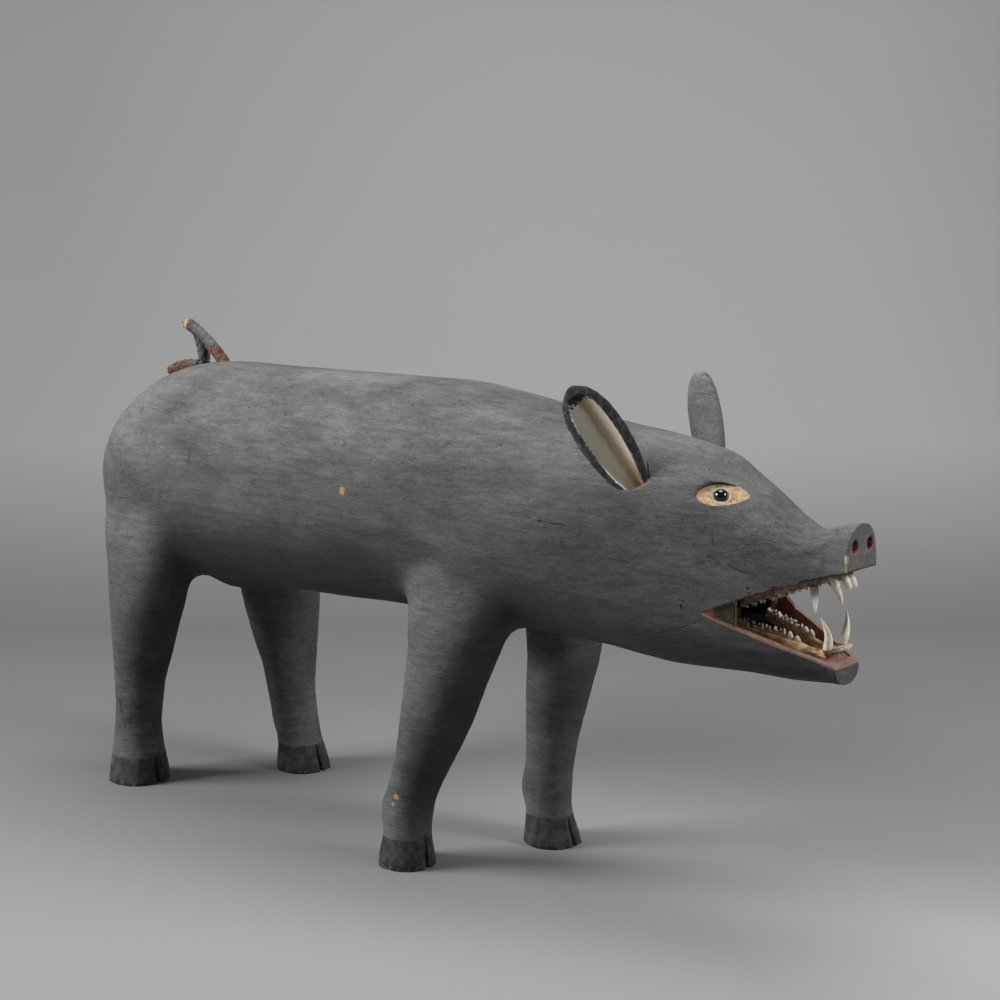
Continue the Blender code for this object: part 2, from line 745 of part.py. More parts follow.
def bar_rings(stations, row, low, high, half_width=BAR_HALF_WIDTH):
    """A bar of bone following a row of teeth, from its low to its high line."""
    rings = []
    for x in stations:
        bottom, top = low(x), high(x)
        section = oval(half_width, (top - bottom) / 2, 3.5, 12)
        rings.append([(mil(x), mil(row(x) + y), mil((top + bottom) / 2 + z))
                      for y, z in section])
    return rings


def horn_rings(points, radii, sides=10, grow=0.0):
    """A tapering tooth along a bent line, in metres."""
    rings = []
    for i, (centre, radius) in enumerate(zip(points, radii)):
        ahead = points[min(i + 1, len(points) - 1)]
        behind = points[max(i - 1, 0)]
        turn = (ahead - behind).to_track_quat("Z", "Y").to_matrix()
        rings.append([centre + turn @ Vector((x, y, 0))
                      for x, y in oval(radius + grow, radius + grow, 2, sides)])
    return rings


def fang(base, tip, radius, bow, root, grow=0.0):
    """A tooth that bows forward between its base and tip, with a buried root."""
    axis = (tip - base).normalized()
    points = [base - axis * (root + grow)]
    radii = [radius * 0.9]
    for share in np.linspace(0, 1, 6):
        points.append(base.lerp(tip, share) + bow * math.sin(math.pi * share))
        radii.append(radius * (1 - share ** 1.6) + 0.0006)
    return horn_rings(points, radii, grow=grow)


def lower_tusk(side, grow=0.0):
    x, y = TUSK_BASE
    base = Vector((mil(x), side * mil(y), mil(gum_height(x))))
    across = mil(TUSK_TIP[1] - y)
    tip = base + Vector((mil(TUSK_TIP[0] - x), side * across, TUSK_HEIGHT))
    bow = Vector((0.0042, side * -0.001, 0))
    return fang(base, tip, TUSK_DIAMETER / 2, bow, TOOTH_ROOT, grow)


def upper_canine(side, grow=0.0):
    x, y = CANINE_BASE
    base = Vector((mil(x), side * mil(y), mil(upper_lip_height(x) - STRIP_DROP)))
    across = mil(CANINE_TIP[1] - y)
    tip = base + Vector((mil(CANINE_TIP[0] - x), side * across, -CANINE_HEIGHT))
    bow = Vector((0.0015, side * 0.0015, 0))
    return fang(base, tip, CANINE_DIAMETER / 2, bow, TOOTH_ROOT, grow)


def lower_teeth_into(bm):
    """Pointed cheek teeth in a row on each side, and four slender front teeth."""
    for side in (-1, 1):
        for x in np.linspace(*LOWER_TEETH, CHEEK_TEETH):
            centre = Vector((mil(x), side * mil(table_value(LOWER_ROW, x)), mil(gum_height(x) - 2)))
            top = centre + Vector((0, 0, CUSP_HEIGHT + mil(2)))
            loft_into(bm, horn_rings([centre, centre.lerp(top, 0.6), top],
                                     [0.0034, 0.0030, 0.0012], 8))
    rear, front, places = LOWER_FRONT_TEETH
    for y in places:
        base = Vector((mil(rear), mil(y), mil(gum_height(rear) - 2)))
        top = Vector((mil(front - abs(y) * 0.5), mil(y * 0.85), mil(gum_height(front) + 5.5)))
        loft_into(bm, horn_rings([base, base.lerp(top, 0.5), top], [0.0026, 0.0024, 0.0014], 8))


def upper_teeth_into(bm):
    """Worn stumps along each strip of bone, and broad front teeth."""
    for side in (-1, 1):
        for x in np.linspace(*UPPER_TEETH, CHEEK_TEETH - 2):
            low = upper_lip_height(x) - STRIP_DROP
            centre = Vector((mil(x), side * mil(table_value(UPPER_ROW, x)), mil(low + 2)))
            top = centre - Vector((0, 0, mil(3.6)))
            loft_into(bm, horn_rings([top, centre], [0.0026, 0.0034], 8))
        for x, y, reach in UPPER_FRONT_TEETH:
            base = Vector((mil(x), side * mil(y), mil(upper_lip_height(x))))
            top = base + Vector((reach * 0.62, 0, -reach))
            loft_into(bm, horn_rings([base, base.lerp(top, 0.6), top],
                                     [0.0050, 0.0050, 0.0030], 8))


def lower_bone_into(bm):
    gap = CLEARANCE / mil(1)
    stations = np.linspace(388, 478, 12)
    for side in (-1, 1):
        rings = bar_rings(stations, lambda x: side * table_value(LOWER_ROW, x),
                          lambda x: channel_floor(x) + gap, gum_height)
        loft_into(bm, rings)
    front = bar_rings((462, 470, 479), lambda x: 0, lambda x: channel_floor(x) + gap,
                      lambda x: gum_height(x) - 2, 13)
    loft_into(bm, front)
    pad = []
    for x in np.linspace(*GUM_PAD, 4):
        low, high = channel_floor(x) + GUM_PAD_GAP, lower_lip_height(x) - 1
        width = channel_half_width(x, low) - GUM_PAD_GAP
        section = [(-width, low), (width, low), (width, high), (-width, high)]
        pad.append([(mil(x), mil(y), mil(z)) for y, z in section])
    loft_into(bm, pad)
    lower_teeth_into(bm)


def upper_bone_into(bm):
    gap = CLEARANCE / mil(1)
    stations = jaw_stations(396, 485, 12)
    for side in (-1, 1):
        rings = bar_rings(stations, lambda x: side * table_value(UPPER_ROW, x),
                          lambda x: upper_lip_height(x) - STRIP_DROP,
                          lambda x: channel_roof(x) - gap)
        loft_into(bm, rings)
    palate = []
    for x in stations:
        section = oval(table_value(UPPER_ROW, x), 2.0, 3.5, 12)
        palate.append([(mil(x), mil(y), mil(channel_roof(x) - gap - 2.0 + z))
                       for y, z in section])
    loft_into(bm, palate)
    upper_teeth_into(bm)


def make_jaws():
    """Each jawbone is one piece with its small teeth; its big tusks sit in sockets."""
    for name, build, fang_rings, kept in (
            ("lower_jawbone", lower_bone_into, lower_tusk, LOWER_BONE_KEPT),
            ("upper_jawbone", upper_bone_into, upper_canine, UPPER_BONE_KEPT)):
        bone = new_object(name, mesh_from(name, build), PARTS, BONE)
        remesh = bone.modifiers.new("one bone", "REMESH")
        remesh.mode = "VOXEL"
        remesh.voxel_size = BONE_VOXEL
        fewer = bone.modifiers.new("fewer faces", "DECIMATE")
        fewer.ratio = kept
        for word, side in (("right", -1), ("left", 1)):
            tooth = {"lower_jawbone": f"{word}_tusk", "upper_jawbone": f"{word}_upper_canine"}[name]
            mesh = loft(tooth, fang_rings(side))
            mesh.shade_smooth()
            new_object(tooth, mesh, PARTS, IVORY)
            socket = cutter(f"{tooth} socket", loft(f"{tooth} socket", fang_rings(side, CLEARANCE)))
            add_boolean(bone, socket)


def main():
    body = carve_body()
    make_eyes()
    make_ears()
    make_jaws()
    seat = make_tail()
    long, wide = FLOOR_HALF_SIZE
    floor = box_between("floor", (-long, -wide, -CUT_BEYOND), (long, wide, 0))
    face = box_between("snout face", (SNOUT_FACE, -TRIM_HALF_WIDTH, HEAD_BAND[0]),
                       (SNOUT_FACE + CUT_BEYOND, TRIM_HALF_WIDTH, HEAD_BAND[1]))
    cutters = [*cleft_cutters(), floor, face, *jaw_tip_cutters(), *mouth_cutters(),
               *jaw_channels(), *nostril_cutters(), *eye_cutters(), *ear_seats(), seat]
    for other in cutters:
        add_boolean(body, other)


main()
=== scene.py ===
# %% [markdown]
# # A carved and painted wooden pig
#
# The real pig was carved from one log, covered with grey paint thickened with
# sawdust and glue, and then fitted with found things: black glass eyes, real
# jawbones with their teeth, separate carved ears and a stiffened rope for a tail.
# This lesson starts from the plain solids of that pig and gives each piece the
# finer shape and the finish that it has on the real one.
#
# First come the modules and the solids themselves. The solids never move; every
# finer piece is laid over the solid that it stands for.

# %% Load the plain solids
import math
import random

import bmesh
import bpy
import numpy as np
from mathutils import Matrix, Vector, noise
from mathutils.bvhtree import BVHTree


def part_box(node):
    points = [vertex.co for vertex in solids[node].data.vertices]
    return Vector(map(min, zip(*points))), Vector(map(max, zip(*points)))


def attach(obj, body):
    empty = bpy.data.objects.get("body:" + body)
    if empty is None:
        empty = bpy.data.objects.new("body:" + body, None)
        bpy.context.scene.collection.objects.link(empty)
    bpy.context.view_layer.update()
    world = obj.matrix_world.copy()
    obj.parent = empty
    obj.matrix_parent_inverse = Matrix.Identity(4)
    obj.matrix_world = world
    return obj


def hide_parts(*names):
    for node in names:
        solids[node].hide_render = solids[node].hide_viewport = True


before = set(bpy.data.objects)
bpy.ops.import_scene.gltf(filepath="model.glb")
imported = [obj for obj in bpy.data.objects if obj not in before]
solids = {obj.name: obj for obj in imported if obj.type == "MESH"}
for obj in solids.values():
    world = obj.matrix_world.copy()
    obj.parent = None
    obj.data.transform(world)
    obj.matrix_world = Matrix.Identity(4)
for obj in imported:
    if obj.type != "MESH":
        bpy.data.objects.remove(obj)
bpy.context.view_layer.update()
print("solids:", sorted(solids))

# %% [markdown]
# The pig is seen from its front right corner, a little above its back, with a
# fairly long lens, so its legs stay nearly upright in the picture. A camera that
# stands a little over two metres away with a 64 mm lens gives that calm view.
# Placing the camera first helps, since every later choice is judged through it.

# %% Place the camera
CAMERA_PLACE = Vector((1.489, -1.6017, 0.785))
CAMERA_TURN = math.radians(40.90)
CAMERA_DIP = math.radians(8.96)
LENS_LENGTH = 63.87
SENSOR_WIDTH = 36.0

lens = bpy.data.cameras.new("camera")
lens.sensor_width = SENSOR_WIDTH
lens.lens = LENS_LENGTH
camera = bpy.data.objects.new("camera", lens)
camera.location = CAMERA_PLACE
camera.rotation_euler = (math.pi / 2 - CAMERA_DIP, 0, CAMERA_TURN)
bpy.context.scene.collection.objects.link(camera)
bpy.context.scene.camera = camera
print("camera at", tuple(round(v, 3) for v in camera.location))

# %% [markdown]
# A pig like this is photographed on a roll of grey paper that runs from the floor
# up the wall behind it with no corner, so that nothing draws the eye from the
# carving. The paper is one bent sheet here too: flat under the pig, then a wide
# quarter turn, then straight up.

# %% Lay the paper floor and backdrop
AWAY = Vector((-math.sin(CAMERA_TURN), math.cos(CAMERA_TURN), 0))
ACROSS = Vector((math.cos(CAMERA_TURN), math.sin(CAMERA_TURN), 0))
PAPER_REACH = 6.0
PAPER_HALF_WIDTH = 7.0
BEND_START = 1.6
BEND_RADIUS = 1.6
BEND_STEPS = 24


def smooth_mesh(bm, name):
    """A smoothly shaded mesh of what was built, which is then let go."""
    mesh = bpy.data.meshes.new(name)
    bm.to_mesh(mesh)
    bm.free()
    mesh.shade_smooth()
    return mesh


def paper_sweep():
    profile = [(-PAPER_REACH, 0.0), (BEND_START, 0.0)]
    for step in range(1, BEND_STEPS + 1):
        angle = math.pi / 2 * step / BEND_STEPS
        profile.append((BEND_START + BEND_RADIUS * math.sin(angle), BEND_RADIUS * (1 - math.cos(angle))))
    profile.append((BEND_START + BEND_RADIUS, PAPER_REACH))
    bm = bmesh.new()
    rows = [[bm.verts.new(AWAY * far + ACROSS * side + Vector((0, 0, up)))
             for side in (-PAPER_HALF_WIDTH, PAPER_HALF_WIDTH)] for far, up in profile]
    for near, far in zip(rows, rows[1:]):
        bm.faces.new((near[0], near[1], far[1], far[0]))
    sheet = bpy.data.objects.new("paper_floor", smooth_mesh(bm, "paper floor"))
    bpy.context.scene.collection.objects.link(sheet)
    return sheet


floor = paper_sweep()
print("paper sweep laid, faces:", len(floor.data.polygons))

# %% [markdown]
# Studio light for a dark matt carving is broad and soft. One large lamp high on
# the left lights the back and the near flank, a wide one overhead brightens the
# back, a weaker one on the right keeps the face readable, and the plain grey
# surroundings fill the shadows a little. The underside stays dark, as it does
# under a real pig, and the coat is also painted darker there as painted shade.

# %% Hang the lamps
def soft_lamp(name, place, aim, size, power):
    data = bpy.data.lights.new(name, "AREA")
    data.shape = "RECTANGLE"
    data.size, data.size_y = size
    data.energy = power
    lamp = bpy.data.objects.new(name, data)
    lamp.location = place
    lamp.rotation_euler = (Vector(aim) - Vector(place)).to_track_quat("-Z", "Y").to_euler()
    bpy.context.scene.collection.objects.link(lamp)


def surroundings(colour, strength):
    world = bpy.data.worlds.new("grey room")
    world.use_nodes = True
    backdrop = world.node_tree.nodes["Background"]
    backdrop.inputs["Color"].default_value = (*colour, 1)
    backdrop.inputs["Strength"].default_value = strength
    bpy.context.scene.world = world


soft_lamp("main lamp", (-2.05, -2.1, 1.95), (-0.16, 0, 0.38), (1.4, 1.0), 122)
soft_lamp("overhead lamp", (0.1, 0.2, 2.6), (0.0, 0, 0.3), (1.8, 1.4), 38)
soft_lamp("face lamp", (2.2, 0.7, 1.5), (0.5, 0, 0.46), (0.6, 0.6), 28)
surroundings((0.84, 0.84, 0.84), 0.07)
bpy.context.scene.view_settings.view_transform = "Standard"

# %% [markdown]
# Every finish below is a small tree of shader nodes. A helper keeps those trees
# short to write: each call adds one node, links what it is given and hands back
# its output, so a finish reads like the layers of paint that it stands for.
# Positions are taken in metres on the pig itself, so a grain of 1 mm is a grain
# of 1 mm anywhere on it.

# %% Helper for mixing finishes
class Finish:
    """A material under construction: each method adds a node and returns its output."""

    def __init__(self, name):
        self.material = bpy.data.materials.new(name)
        self.material.use_nodes = True
        self.tree = self.material.node_tree
        self.shader = self.tree.nodes["Principled BSDF"]
        self.place = self.node("ShaderNodeTexCoord").outputs["Object"]

    def node(self, kind, sockets=None, **settings):
        node = self.tree.nodes.new(kind)
        for key, value in settings.items():
            setattr(node, key, value)
        for socket, value in (sockets or {}).items():
            self.feed(node.inputs[socket], value)
        return node

    def feed(self, socket, value):
        if isinstance(value, bpy.types.NodeSocket):
            self.tree.links.new(value, socket)
        elif isinstance(value, (tuple, list)) and socket.type == "RGBA":
            socket.default_value = (*value[:3], 1)
        else:
            socket.default_value = value

    def stretched(self, scale, turn=(0, 0, 0)):
        sockets = {"Vector": self.place, "Rotation": turn, "Scale": scale}
        return self.node("ShaderNodeMapping", sockets).outputs["Vector"]

    def grain(self, scale, detail=4.0, roughness=0.55, place=None, distortion=0.0):
        sockets = {"Vector": place or self.place, "Scale": scale, "Detail": detail,
                   "Roughness": roughness, "Distortion": distortion}
        return self.node("ShaderNodeTexNoise", sockets).outputs["Fac"]

    def ramp(self, value, *stops):
        ramp = self.node("ShaderNodeValToRGB", {"Fac": value})
        marks = ramp.color_ramp.elements
        while len(marks) < len(stops):
            marks.new(0.5)
        for mark, (place, shade) in zip(marks, stops):
            mark.position = place
            mark.color = (shade, shade, shade, 1) if isinstance(shade, (int, float)) else (*shade, 1)
        return ramp.outputs["Color"]

    def sums(self, operation, a, b=0.0, clamp=False):
        return self.node("ShaderNodeMath", {0: a, 1: b}, operation=operation, use_clamp=clamp).outputs[0]

    def plus(self, *values):
        total = values[0]
        for value in values[1:]:
            total = self.sums("ADD", total, value)
        return total

    def times(self, a, b):
        return self.sums("MULTIPLY", a, b)

    def flipped(self, value):
        return self.sums("SUBTRACT", 1.0, value)

    def between(self, value, low, high):
        """0 below low, 1 above high, smooth between them."""
        sockets = {"Value": value, "From Min": low, "From Max": high}
        return self.node("ShaderNodeMapRange", sockets, interpolation_type="SMOOTHSTEP").outputs["Result"]

    def blend(self, amount, under, over, way="MIX"):
        sockets = {"Factor": amount, 6: under, 7: over}
        return self.node("ShaderNodeMix", sockets, data_type="RGBA", blend_type=way).outputs[2]

    def painted(self, attribute):
        return self.node("ShaderNodeAttribute", attribute_name=attribute).outputs["Fac"]

    def axis(self, name):
        return self.node("ShaderNodeSeparateXYZ", {0: self.place}).outputs[name]

    def vectors(self, operation, a, b=(0, 0, 0), output="Vector"):
        """Arithmetic on places and directions."""
        return self.node("ShaderNodeVectorMath", {0: a, 1: b}, operation=operation).outputs[output]

    def measured_along(self, direction):
        """How far a place lies along a direction, in metres."""
        return self.vectors("DOT_PRODUCT", self.place, direction, "Value")

    def facing_up(self):
        normal = self.node("ShaderNodeNewGeometry").outputs["Normal"]
        return self.node("ShaderNodeSeparateXYZ", {0: normal}).outputs["Z"]

    def spot(self, centre, size, raggedness=0.35, grain=260.0):
        """1 within a ragged-edged spot of that size (half-lengths in metres), 0 outside."""
        shift = self.vectors("SUBTRACT", self.place, centre)
        far = self.vectors("LENGTH", self.vectors("DIVIDE", shift, size), output="Value")
        ragged = self.plus(far, self.times(self.grain(grain, 2.0), raggedness * 2))
        return self.flipped(self.between(ragged, 0.9 + raggedness, 1.1 + raggedness))

    def line(self, start, end, width, wander=0.0064):
        """1 along a wandering line between two places, 0 beside it."""
        along = end - start
        shake = self.node("ShaderNodeTexNoise", {"Vector": self.place, "Scale": 60}).outputs["Color"]
        centred = self.vectors("SUBTRACT", shake, (0.5, 0.5, 0.5))
        moved = self.vectors("ADD", self.vectors("MULTIPLY", centred, (wander,) * 3), self.place)
        shift = self.vectors("SUBTRACT", moved, start)
        reach = self.vectors("DOT_PRODUCT", shift, along / along.length_squared, "Value")
        share = self.sums("ADD", reach, 0.0, clamp=True)
        gap = self.vectors("DISTANCE", shift, self.vectors("MULTIPLY", along, share), "Value")
        return self.flipped(self.between(gap, width * 0.4, width))

    def bump(self, height, strength, distance, under=None):
        sockets = {"Strength": strength, "Distance": distance, "Height": height}
        if under is not None:
            sockets["Normal"] = under
        return self.node("ShaderNodeBump", sockets).outputs["Normal"]

    def finish(self, colour, roughness, normal=None, **fixed):
        self.feed(self.shader.inputs["Base Color"], colour)
        self.feed(self.shader.inputs["Roughness"], roughness)
        if normal is not None:
            self.feed(self.shader.inputs["Normal"], normal)
        for socket, value in fixed.items():
            self.shader.inputs[socket.replace("_", " ")].default_value = value
        return self.material


def read_off(x, places, values):
    """The value at x on a broken line through the given places."""
    return float(np.interp(x, places, values))


def matt_paper():
    """Paper with painted light and shade: palest up the wall, darker in a band on the floor just behind the
    pig, and lighter towards the camera's right.
    """
    sheet = Finish("grey backdrop paper with painted shading")
    along = sheet.measured_along(AWAY + Vector((0, 0, 1)))
    share = sheet.sums("DIVIDE", sheet.plus(along, 1.0), 6.0)
    # Painted shade: the paper is painted darkest in a band on the floor behind the pig and palest up the
    # wall.
    tone = sheet.ramp(share, (0.10, 0.37), (0.277, 0.215), (0.367, 0.205),
                      (0.483, 0.34), (0.60, 0.53), (0.92, 0.62))
    # Painted light: the paper is painted lighter towards the camera's right.
    across = sheet.measured_along(ACROSS)
    side = sheet.ramp(sheet.plus(sheet.sums("DIVIDE", across, 4.0), 0.5),
                      (0.2, 0.66), (0.5, 0.87), (0.8, 1.08))
    cloud = sheet.blend(sheet.grain(1.2, 2.0), (0.97, 0.97, 0.97), (1, 1, 1))
    tone = sheet.blend(1.0, tone, side, "MULTIPLY")
    return sheet.finish(sheet.blend(1.0, tone, cloud, "MULTIPLY"), 0.9)


floor.data.materials.append(matt_paper())
print("first finish:", floor.data.materials[0].name)

# %% [markdown]
# The coat on the wood is the pig's most telling surface: grey paint stirred with
# sawdust and glue and dragged on with a stiff brush. It is made in layers. Fine
# grains of a millimetre or two give the tooth, long low ripples follow the brush,
# and dark clouds and specks show where dirt has settled. Painted light and shade
# make the coat paler on faces that look up and much darker on faces that look
# down. The grains, ripples and dirt are noise at their own real scale, and the same
# coat is used on the body, the backs of the ears and the tail.

# %% Mix the sawdust paint
HOOF_HEIGHT = 0.0375
PAINT_DARK = (0.038, 0.038, 0.038)
PAINT_MID = (0.104, 0.104, 0.103)
PAINT_PALE = (0.200, 0.199, 0.194)
CRACK_BLACK = (0.010, 0.009, 0.008)
KNOT_BLACK = (0.004, 0.004, 0.004)
LOWER_LIP_LINE = ((0.353982, 0, 1), 0.533236)
UPPER_LIP_LINES = (((-0.43077, 0, 1), 0.182106), ((-0.30508, 0, 1), 0.248067))


def sawdust_coat(coat, top_light_share=1.0):
    """Colour, roughness and relief of the grey coat, for a finish to build on."""
    ripples = coat.grain(1.0, 5.0, 0.62, coat.stretched((26, 60, 150), (0, 0.03, 0)), 0.6)
    grains = coat.grain(520, 3.0, 0.7)
    clouds = coat.grain(1.0, 6.0, 0.6, coat.stretched((7, 9, 13)), 0.4)
    smudges = coat.grain(34, 6.0, 0.65, distortion=0.8)
    furrows = coat.grain(1.0, 3.0, 0.7, coat.stretched((110, 330, 620), (0, 0.05, 0)), 0.5)
    tone = coat.plus(coat.times(clouds, 0.34), coat.times(ripples, 0.22),
                     coat.times(furrows, 0.22), coat.times(grains, 0.22))
    colour = coat.ramp(tone, (0.39, PAINT_DARK), (0.50, PAINT_MID), (0.62, PAINT_PALE))
    # Painted light and shade: faces that look up are made paler, faces that look down much darker.
    upper = coat.between(coat.facing_up(), -0.55, 0.95)
    shade = coat.ramp(upper, (0.0, 0.26), (0.24, 0.78), (0.42, 0.98), (1.0, 1.0 + 0.16 * top_light_share))
    colour = coat.blend(1.0, colour, shade, "MULTIPLY")
    dirt = coat.between(smudges, 0.60, 0.72)
    colour = coat.blend(coat.times(dirt, 0.50), colour, (0.022, 0.021, 0.021))
    specks = coat.between(coat.grain(150, 2.0, 0.5), 0.69, 0.74)
    colour = coat.blend(coat.times(specks, 0.65), colour, (0.012, 0.011, 0.011))
    relief = coat.bump(ripples, 0.25, 0.003)
    relief = coat.bump(furrows, 0.55, 0.0016, relief)
    relief = coat.bump(grains, 0.65, 0.0012, relief)
    roughness = coat.ramp(grains, (0.3, 0.72), (0.7, 0.92))
    return colour, roughness, relief


def body_paint():
    coat = Finish("grey sawdust paint")
    colour, roughness, relief = sawdust_coat(coat)
    edge = coat.plus(coat.axis("Z"), coat.times(coat.grain(70, 3.0), 0.008))
    hoof = coat.flipped(coat.between(edge, HOOF_HEIGHT + 0.0035, HOOF_HEIGHT + 0.0055))
    black = coat.ramp(coat.grain(90, 4.0), (0.35, (0.020, 0.019, 0.017)), (0.7, (0.085, 0.078, 0.070)))
    colour = coat.blend(hoof, colour, black)
    rubbed = coat.times(coat.between(coat.axis("Z"), 0.0075, 0.0),
                        coat.between(coat.grain(120, 4.0, 0.7), 0.50, 0.62))
    colour = coat.blend(rubbed, colour, (0.26, 0.17, 0.10))
    cut = 0.0
    for start, end, width in CRACKS:
        cut = coat.sums("MAXIMUM", cut, coat.line(start, end, width))
    colour = coat.blend(coat.times(cut, 0.85), colour, CRACK_BLACK)
    relief = coat.bump(coat.flipped(cut), 0.6, 0.0015, relief)
    for centre, size in KNOTS:
        colour = coat.blend(coat.spot(centre, size, 0.8, 420), colour, KNOT_BLACK)
    ahead = coat.between(coat.axis("X"), 0.4470, 0.4490)
    under_lip = coat.sums("SUBTRACT", coat.measured_along(LOWER_LIP_LINE[0]), LOWER_LIP_LINE[1])
    under_lip = coat.plus(under_lip, coat.times(coat.grain(110, 3.0), 0.0014))
    pink = coat.times(coat.between(under_lip, -0.0024, -0.0017), coat.sums("LESS_THAN", under_lip, 0.0016))
    colour = coat.blend(coat.times(pink, ahead), colour, (0.33, 0.19, 0.16))
    # A thin dark red band along the upper lip's edge: partly red lip paint, partly painted shade under the
    # lip.
    over_lip = coat.sums("MAXIMUM", *[coat.sums("SUBTRACT", coat.measured_along(way), rise)
                                      for way, rise in UPPER_LIP_LINES])
    over_lip = coat.plus(over_lip, coat.times(coat.grain(110, 3.0), 0.0016))
    red = coat.times(coat.between(over_lip, 0.0026, 0.0016), coat.sums("GREATER_THAN", over_lip, 0.0))
    colour = coat.blend(coat.times(red, ahead), colour, (0.075, 0.022, 0.020))
    for centre, size, shade in CHIPS:
        colour = coat.blend(coat.spot(centre, size, 0.7, 480), colour, shade)
    return coat.finish(colour, roughness, relief)


print("hoof paint stops at", HOOF_HEIGHT, "m")

# %% [markdown]
# The body is one carved log, and the solid under it is faceted. To get a softly
# carved skin, its long edges are cut again and again, finely at the face and
# coarsely on the trunk, and then every point is relaxed towards its neighbours.
# Points on real arrises, such as the lips, the rims of the nostrils and the soles,
# are only relaxed along those arrises, so they stay crisp.

# %% Refine a carved solid
MOST_HALVINGS = 7
SMOOTHING_IN, SMOOTHING_OUT = 0.5, -0.52


def welded(node):
    """A bmesh copy of a solid, its doubled points joined."""
    bm = bmesh.new()
    bm.from_mesh(solids[node].data)
    bmesh.ops.remove_doubles(bm, verts=bm.verts, dist=2e-6)
    bmesh.ops.dissolve_degenerate(bm, edges=bm.edges, dist=1e-6)
    bmesh.ops.triangulate(bm, faces=[f for f in bm.faces if len(f.verts) > 3])
    return bm


def cut_finer(bm, longest):
    """Halve every edge longer than longest(middle) until none is left."""
    for _ in range(MOST_HALVINGS):
        edges = [e for e in bm.edges
                 if e.calc_length() > longest((e.verts[0].co + e.verts[1].co) / 2)]
        if not edges:
            break
        bmesh.ops.subdivide_edges(bm, edges=edges, cuts=1)
        bmesh.ops.triangulate(bm, faces=[f for f in bm.faces if len(f.verts) > 3])


def arrises(bm, angle):
    """Mark the sharp edges of the solid, so that they can be found after cutting."""
    layer = bm.edges.layers.int.new("arris")
    for edge in bm.edges:
        turn = edge.calc_face_angle(math.pi)
        edge[layer] = 1 if turn > angle(edge.verts[0].co) else 0
    return layer


def relax(points, pairs, line_pairs, rounds):
    """Taubin smoothing: free points over the skin, arris points along their line."""
    count = len(points)
    on_line = np.zeros(count, bool)
    on_line[line_pairs.ravel()] = True
    line_degree = np.bincount(line_pairs.ravel(), minlength=count)
    movable_line = on_line & (line_degree == 2)
    degree = np.maximum(np.bincount(pairs.ravel(), minlength=count), 1)

    def pull(links, weight):
        total = np.zeros_like(points)
        for axis in range(3):
            total[:, axis] = (np.bincount(links[:, 0], points[links[:, 1], axis], count)
                              + np.bincount(links[:, 1], points[links[:, 0], axis], count))
        return total / weight[:, None] - points

    for step in range(rounds):
        share = SMOOTHING_IN if step % 2 == 0 else SMOOTHING_OUT
        skin = pull(pairs, degree)
        skin[on_line] = 0
        if len(line_pairs):
            line = pull(line_pairs, np.maximum(line_degree, 1))
            skin[movable_line] = line[movable_line] * 0.5
        points = points + skin * share
    return points


def refined(node, longest, angle, rounds):
    bm = welded(node)
    layer = arrises(bm, angle)
    cut_finer(bm, longest)
    bm.verts.index_update()
    pairs = np.array([[v.index for v in e.verts] for e in bm.edges])
    marks = np.array([e[layer] for e in bm.edges], bool)
    points = np.array([v.co for v in bm.verts])
    points = relax(points, pairs, pairs[marks], rounds)
    for vertex, place in zip(bm.verts, points):
        vertex.co = place
    return bm


def body_arris(place):
    """The jaw's tip was cut with flat strokes, so smaller turns are edges there."""
    return math.radians(34 if place.x > 0.548 and place.z < 0.34 else 48)


def body_fineness(place):
    if place.x > 0.44 and place.z > 0.25:
        return 0.0036
    return 0.0072 if place.x > 0.28 and place.z > 0.2 else 0.0120


def placed(name, mesh, node):
    """Stand a finer piece in the scene, over the solid that it replaces."""
    low, high = (np.array(corner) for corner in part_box(node))
    places = np.array([v.co for v in mesh.vertices])
    mesh.vertices.foreach_set("co", np.clip(places, low, high).astype(np.float32).ravel())
    piece = bpy.data.objects.new(name, mesh)
    bpy.context.scene.collection.objects.link(piece)
    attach(piece, "root")
    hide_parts(node)
    return piece


body_mesh = smooth_mesh(refined("body", body_fineness, body_arris, 40), "carved_body")
placed("carved_body", body_mesh, "body")
print("carved skin:", len(body_mesh.polygons), "faces")

# %% [markdown]
# The wood has lived: paint has flaked off in a few places, the grain has opened
# along the jaw and at the foot of the ear, and small knots show as dark specks.
# Each mark is looked for from where the camera stands, so it lands on the skin
# exactly where the eye sees it, whatever the carving under it does.

# %% Find the chips, cracks and knots
def seen_at(across, down):
    """The place on the skin that the camera sees there, in shares of the picture."""
    turn = camera.rotation_euler.to_matrix()
    wide = SENSOR_WIDTH / LENS_LENGTH
    ray = turn @ Vector(((across - 0.5) * wide, (0.5 - down) * wide, -1))
    return SKIN.ray_cast(CAMERA_PLACE, ray.normalized())[0]


SKIN = BVHTree.FromPolygons([v.co for v in body_mesh.vertices], [p.vertices for p in body_mesh.polygons])
OCHRE = (0.42, 0.27, 0.11)
RUST = (0.17, 0.135, 0.112)
CHIPS = [(seen_at(0.342, 0.491), (0.0045, 0.006, 0.0050), OCHRE),
         (seen_at(0.396, 0.797), (0.0045, 0.005, 0.0035), OCHRE),
         (seen_at(0.393, 0.804), (0.0030, 0.004, 0.0022), OCHRE),
         (seen_at(0.835, 0.668), (0.0022, 0.003, 0.0026), OCHRE),
         (seen_at(0.8466, 0.5600), (0.0022, 0.0013, 0.0062), (0.66, 0.58, 0.40)),
         (seen_at(0.8462, 0.5700), (0.0016, 0.0008, 0.0065), (0.52, 0.42, 0.28)),
         (seen_at(0.184, 0.3715), (0.0120, 0.012, 0.0045), RUST)]
KNOTS = [(seen_at(0.6810, 0.6065), (0.0014, 0.003, 0.0034)),
         (seen_at(0.6795, 0.6000), (0.0018, 0.003, 0.0012)),
         (seen_at(0.6830, 0.6010), (0.0009, 0.003, 0.0013)),
         (seen_at(0.7475, 0.5885), (0.0012, 0.003, 0.0018)),
         (seen_at(0.7490, 0.5930), (0.0016, 0.003, 0.0008))]
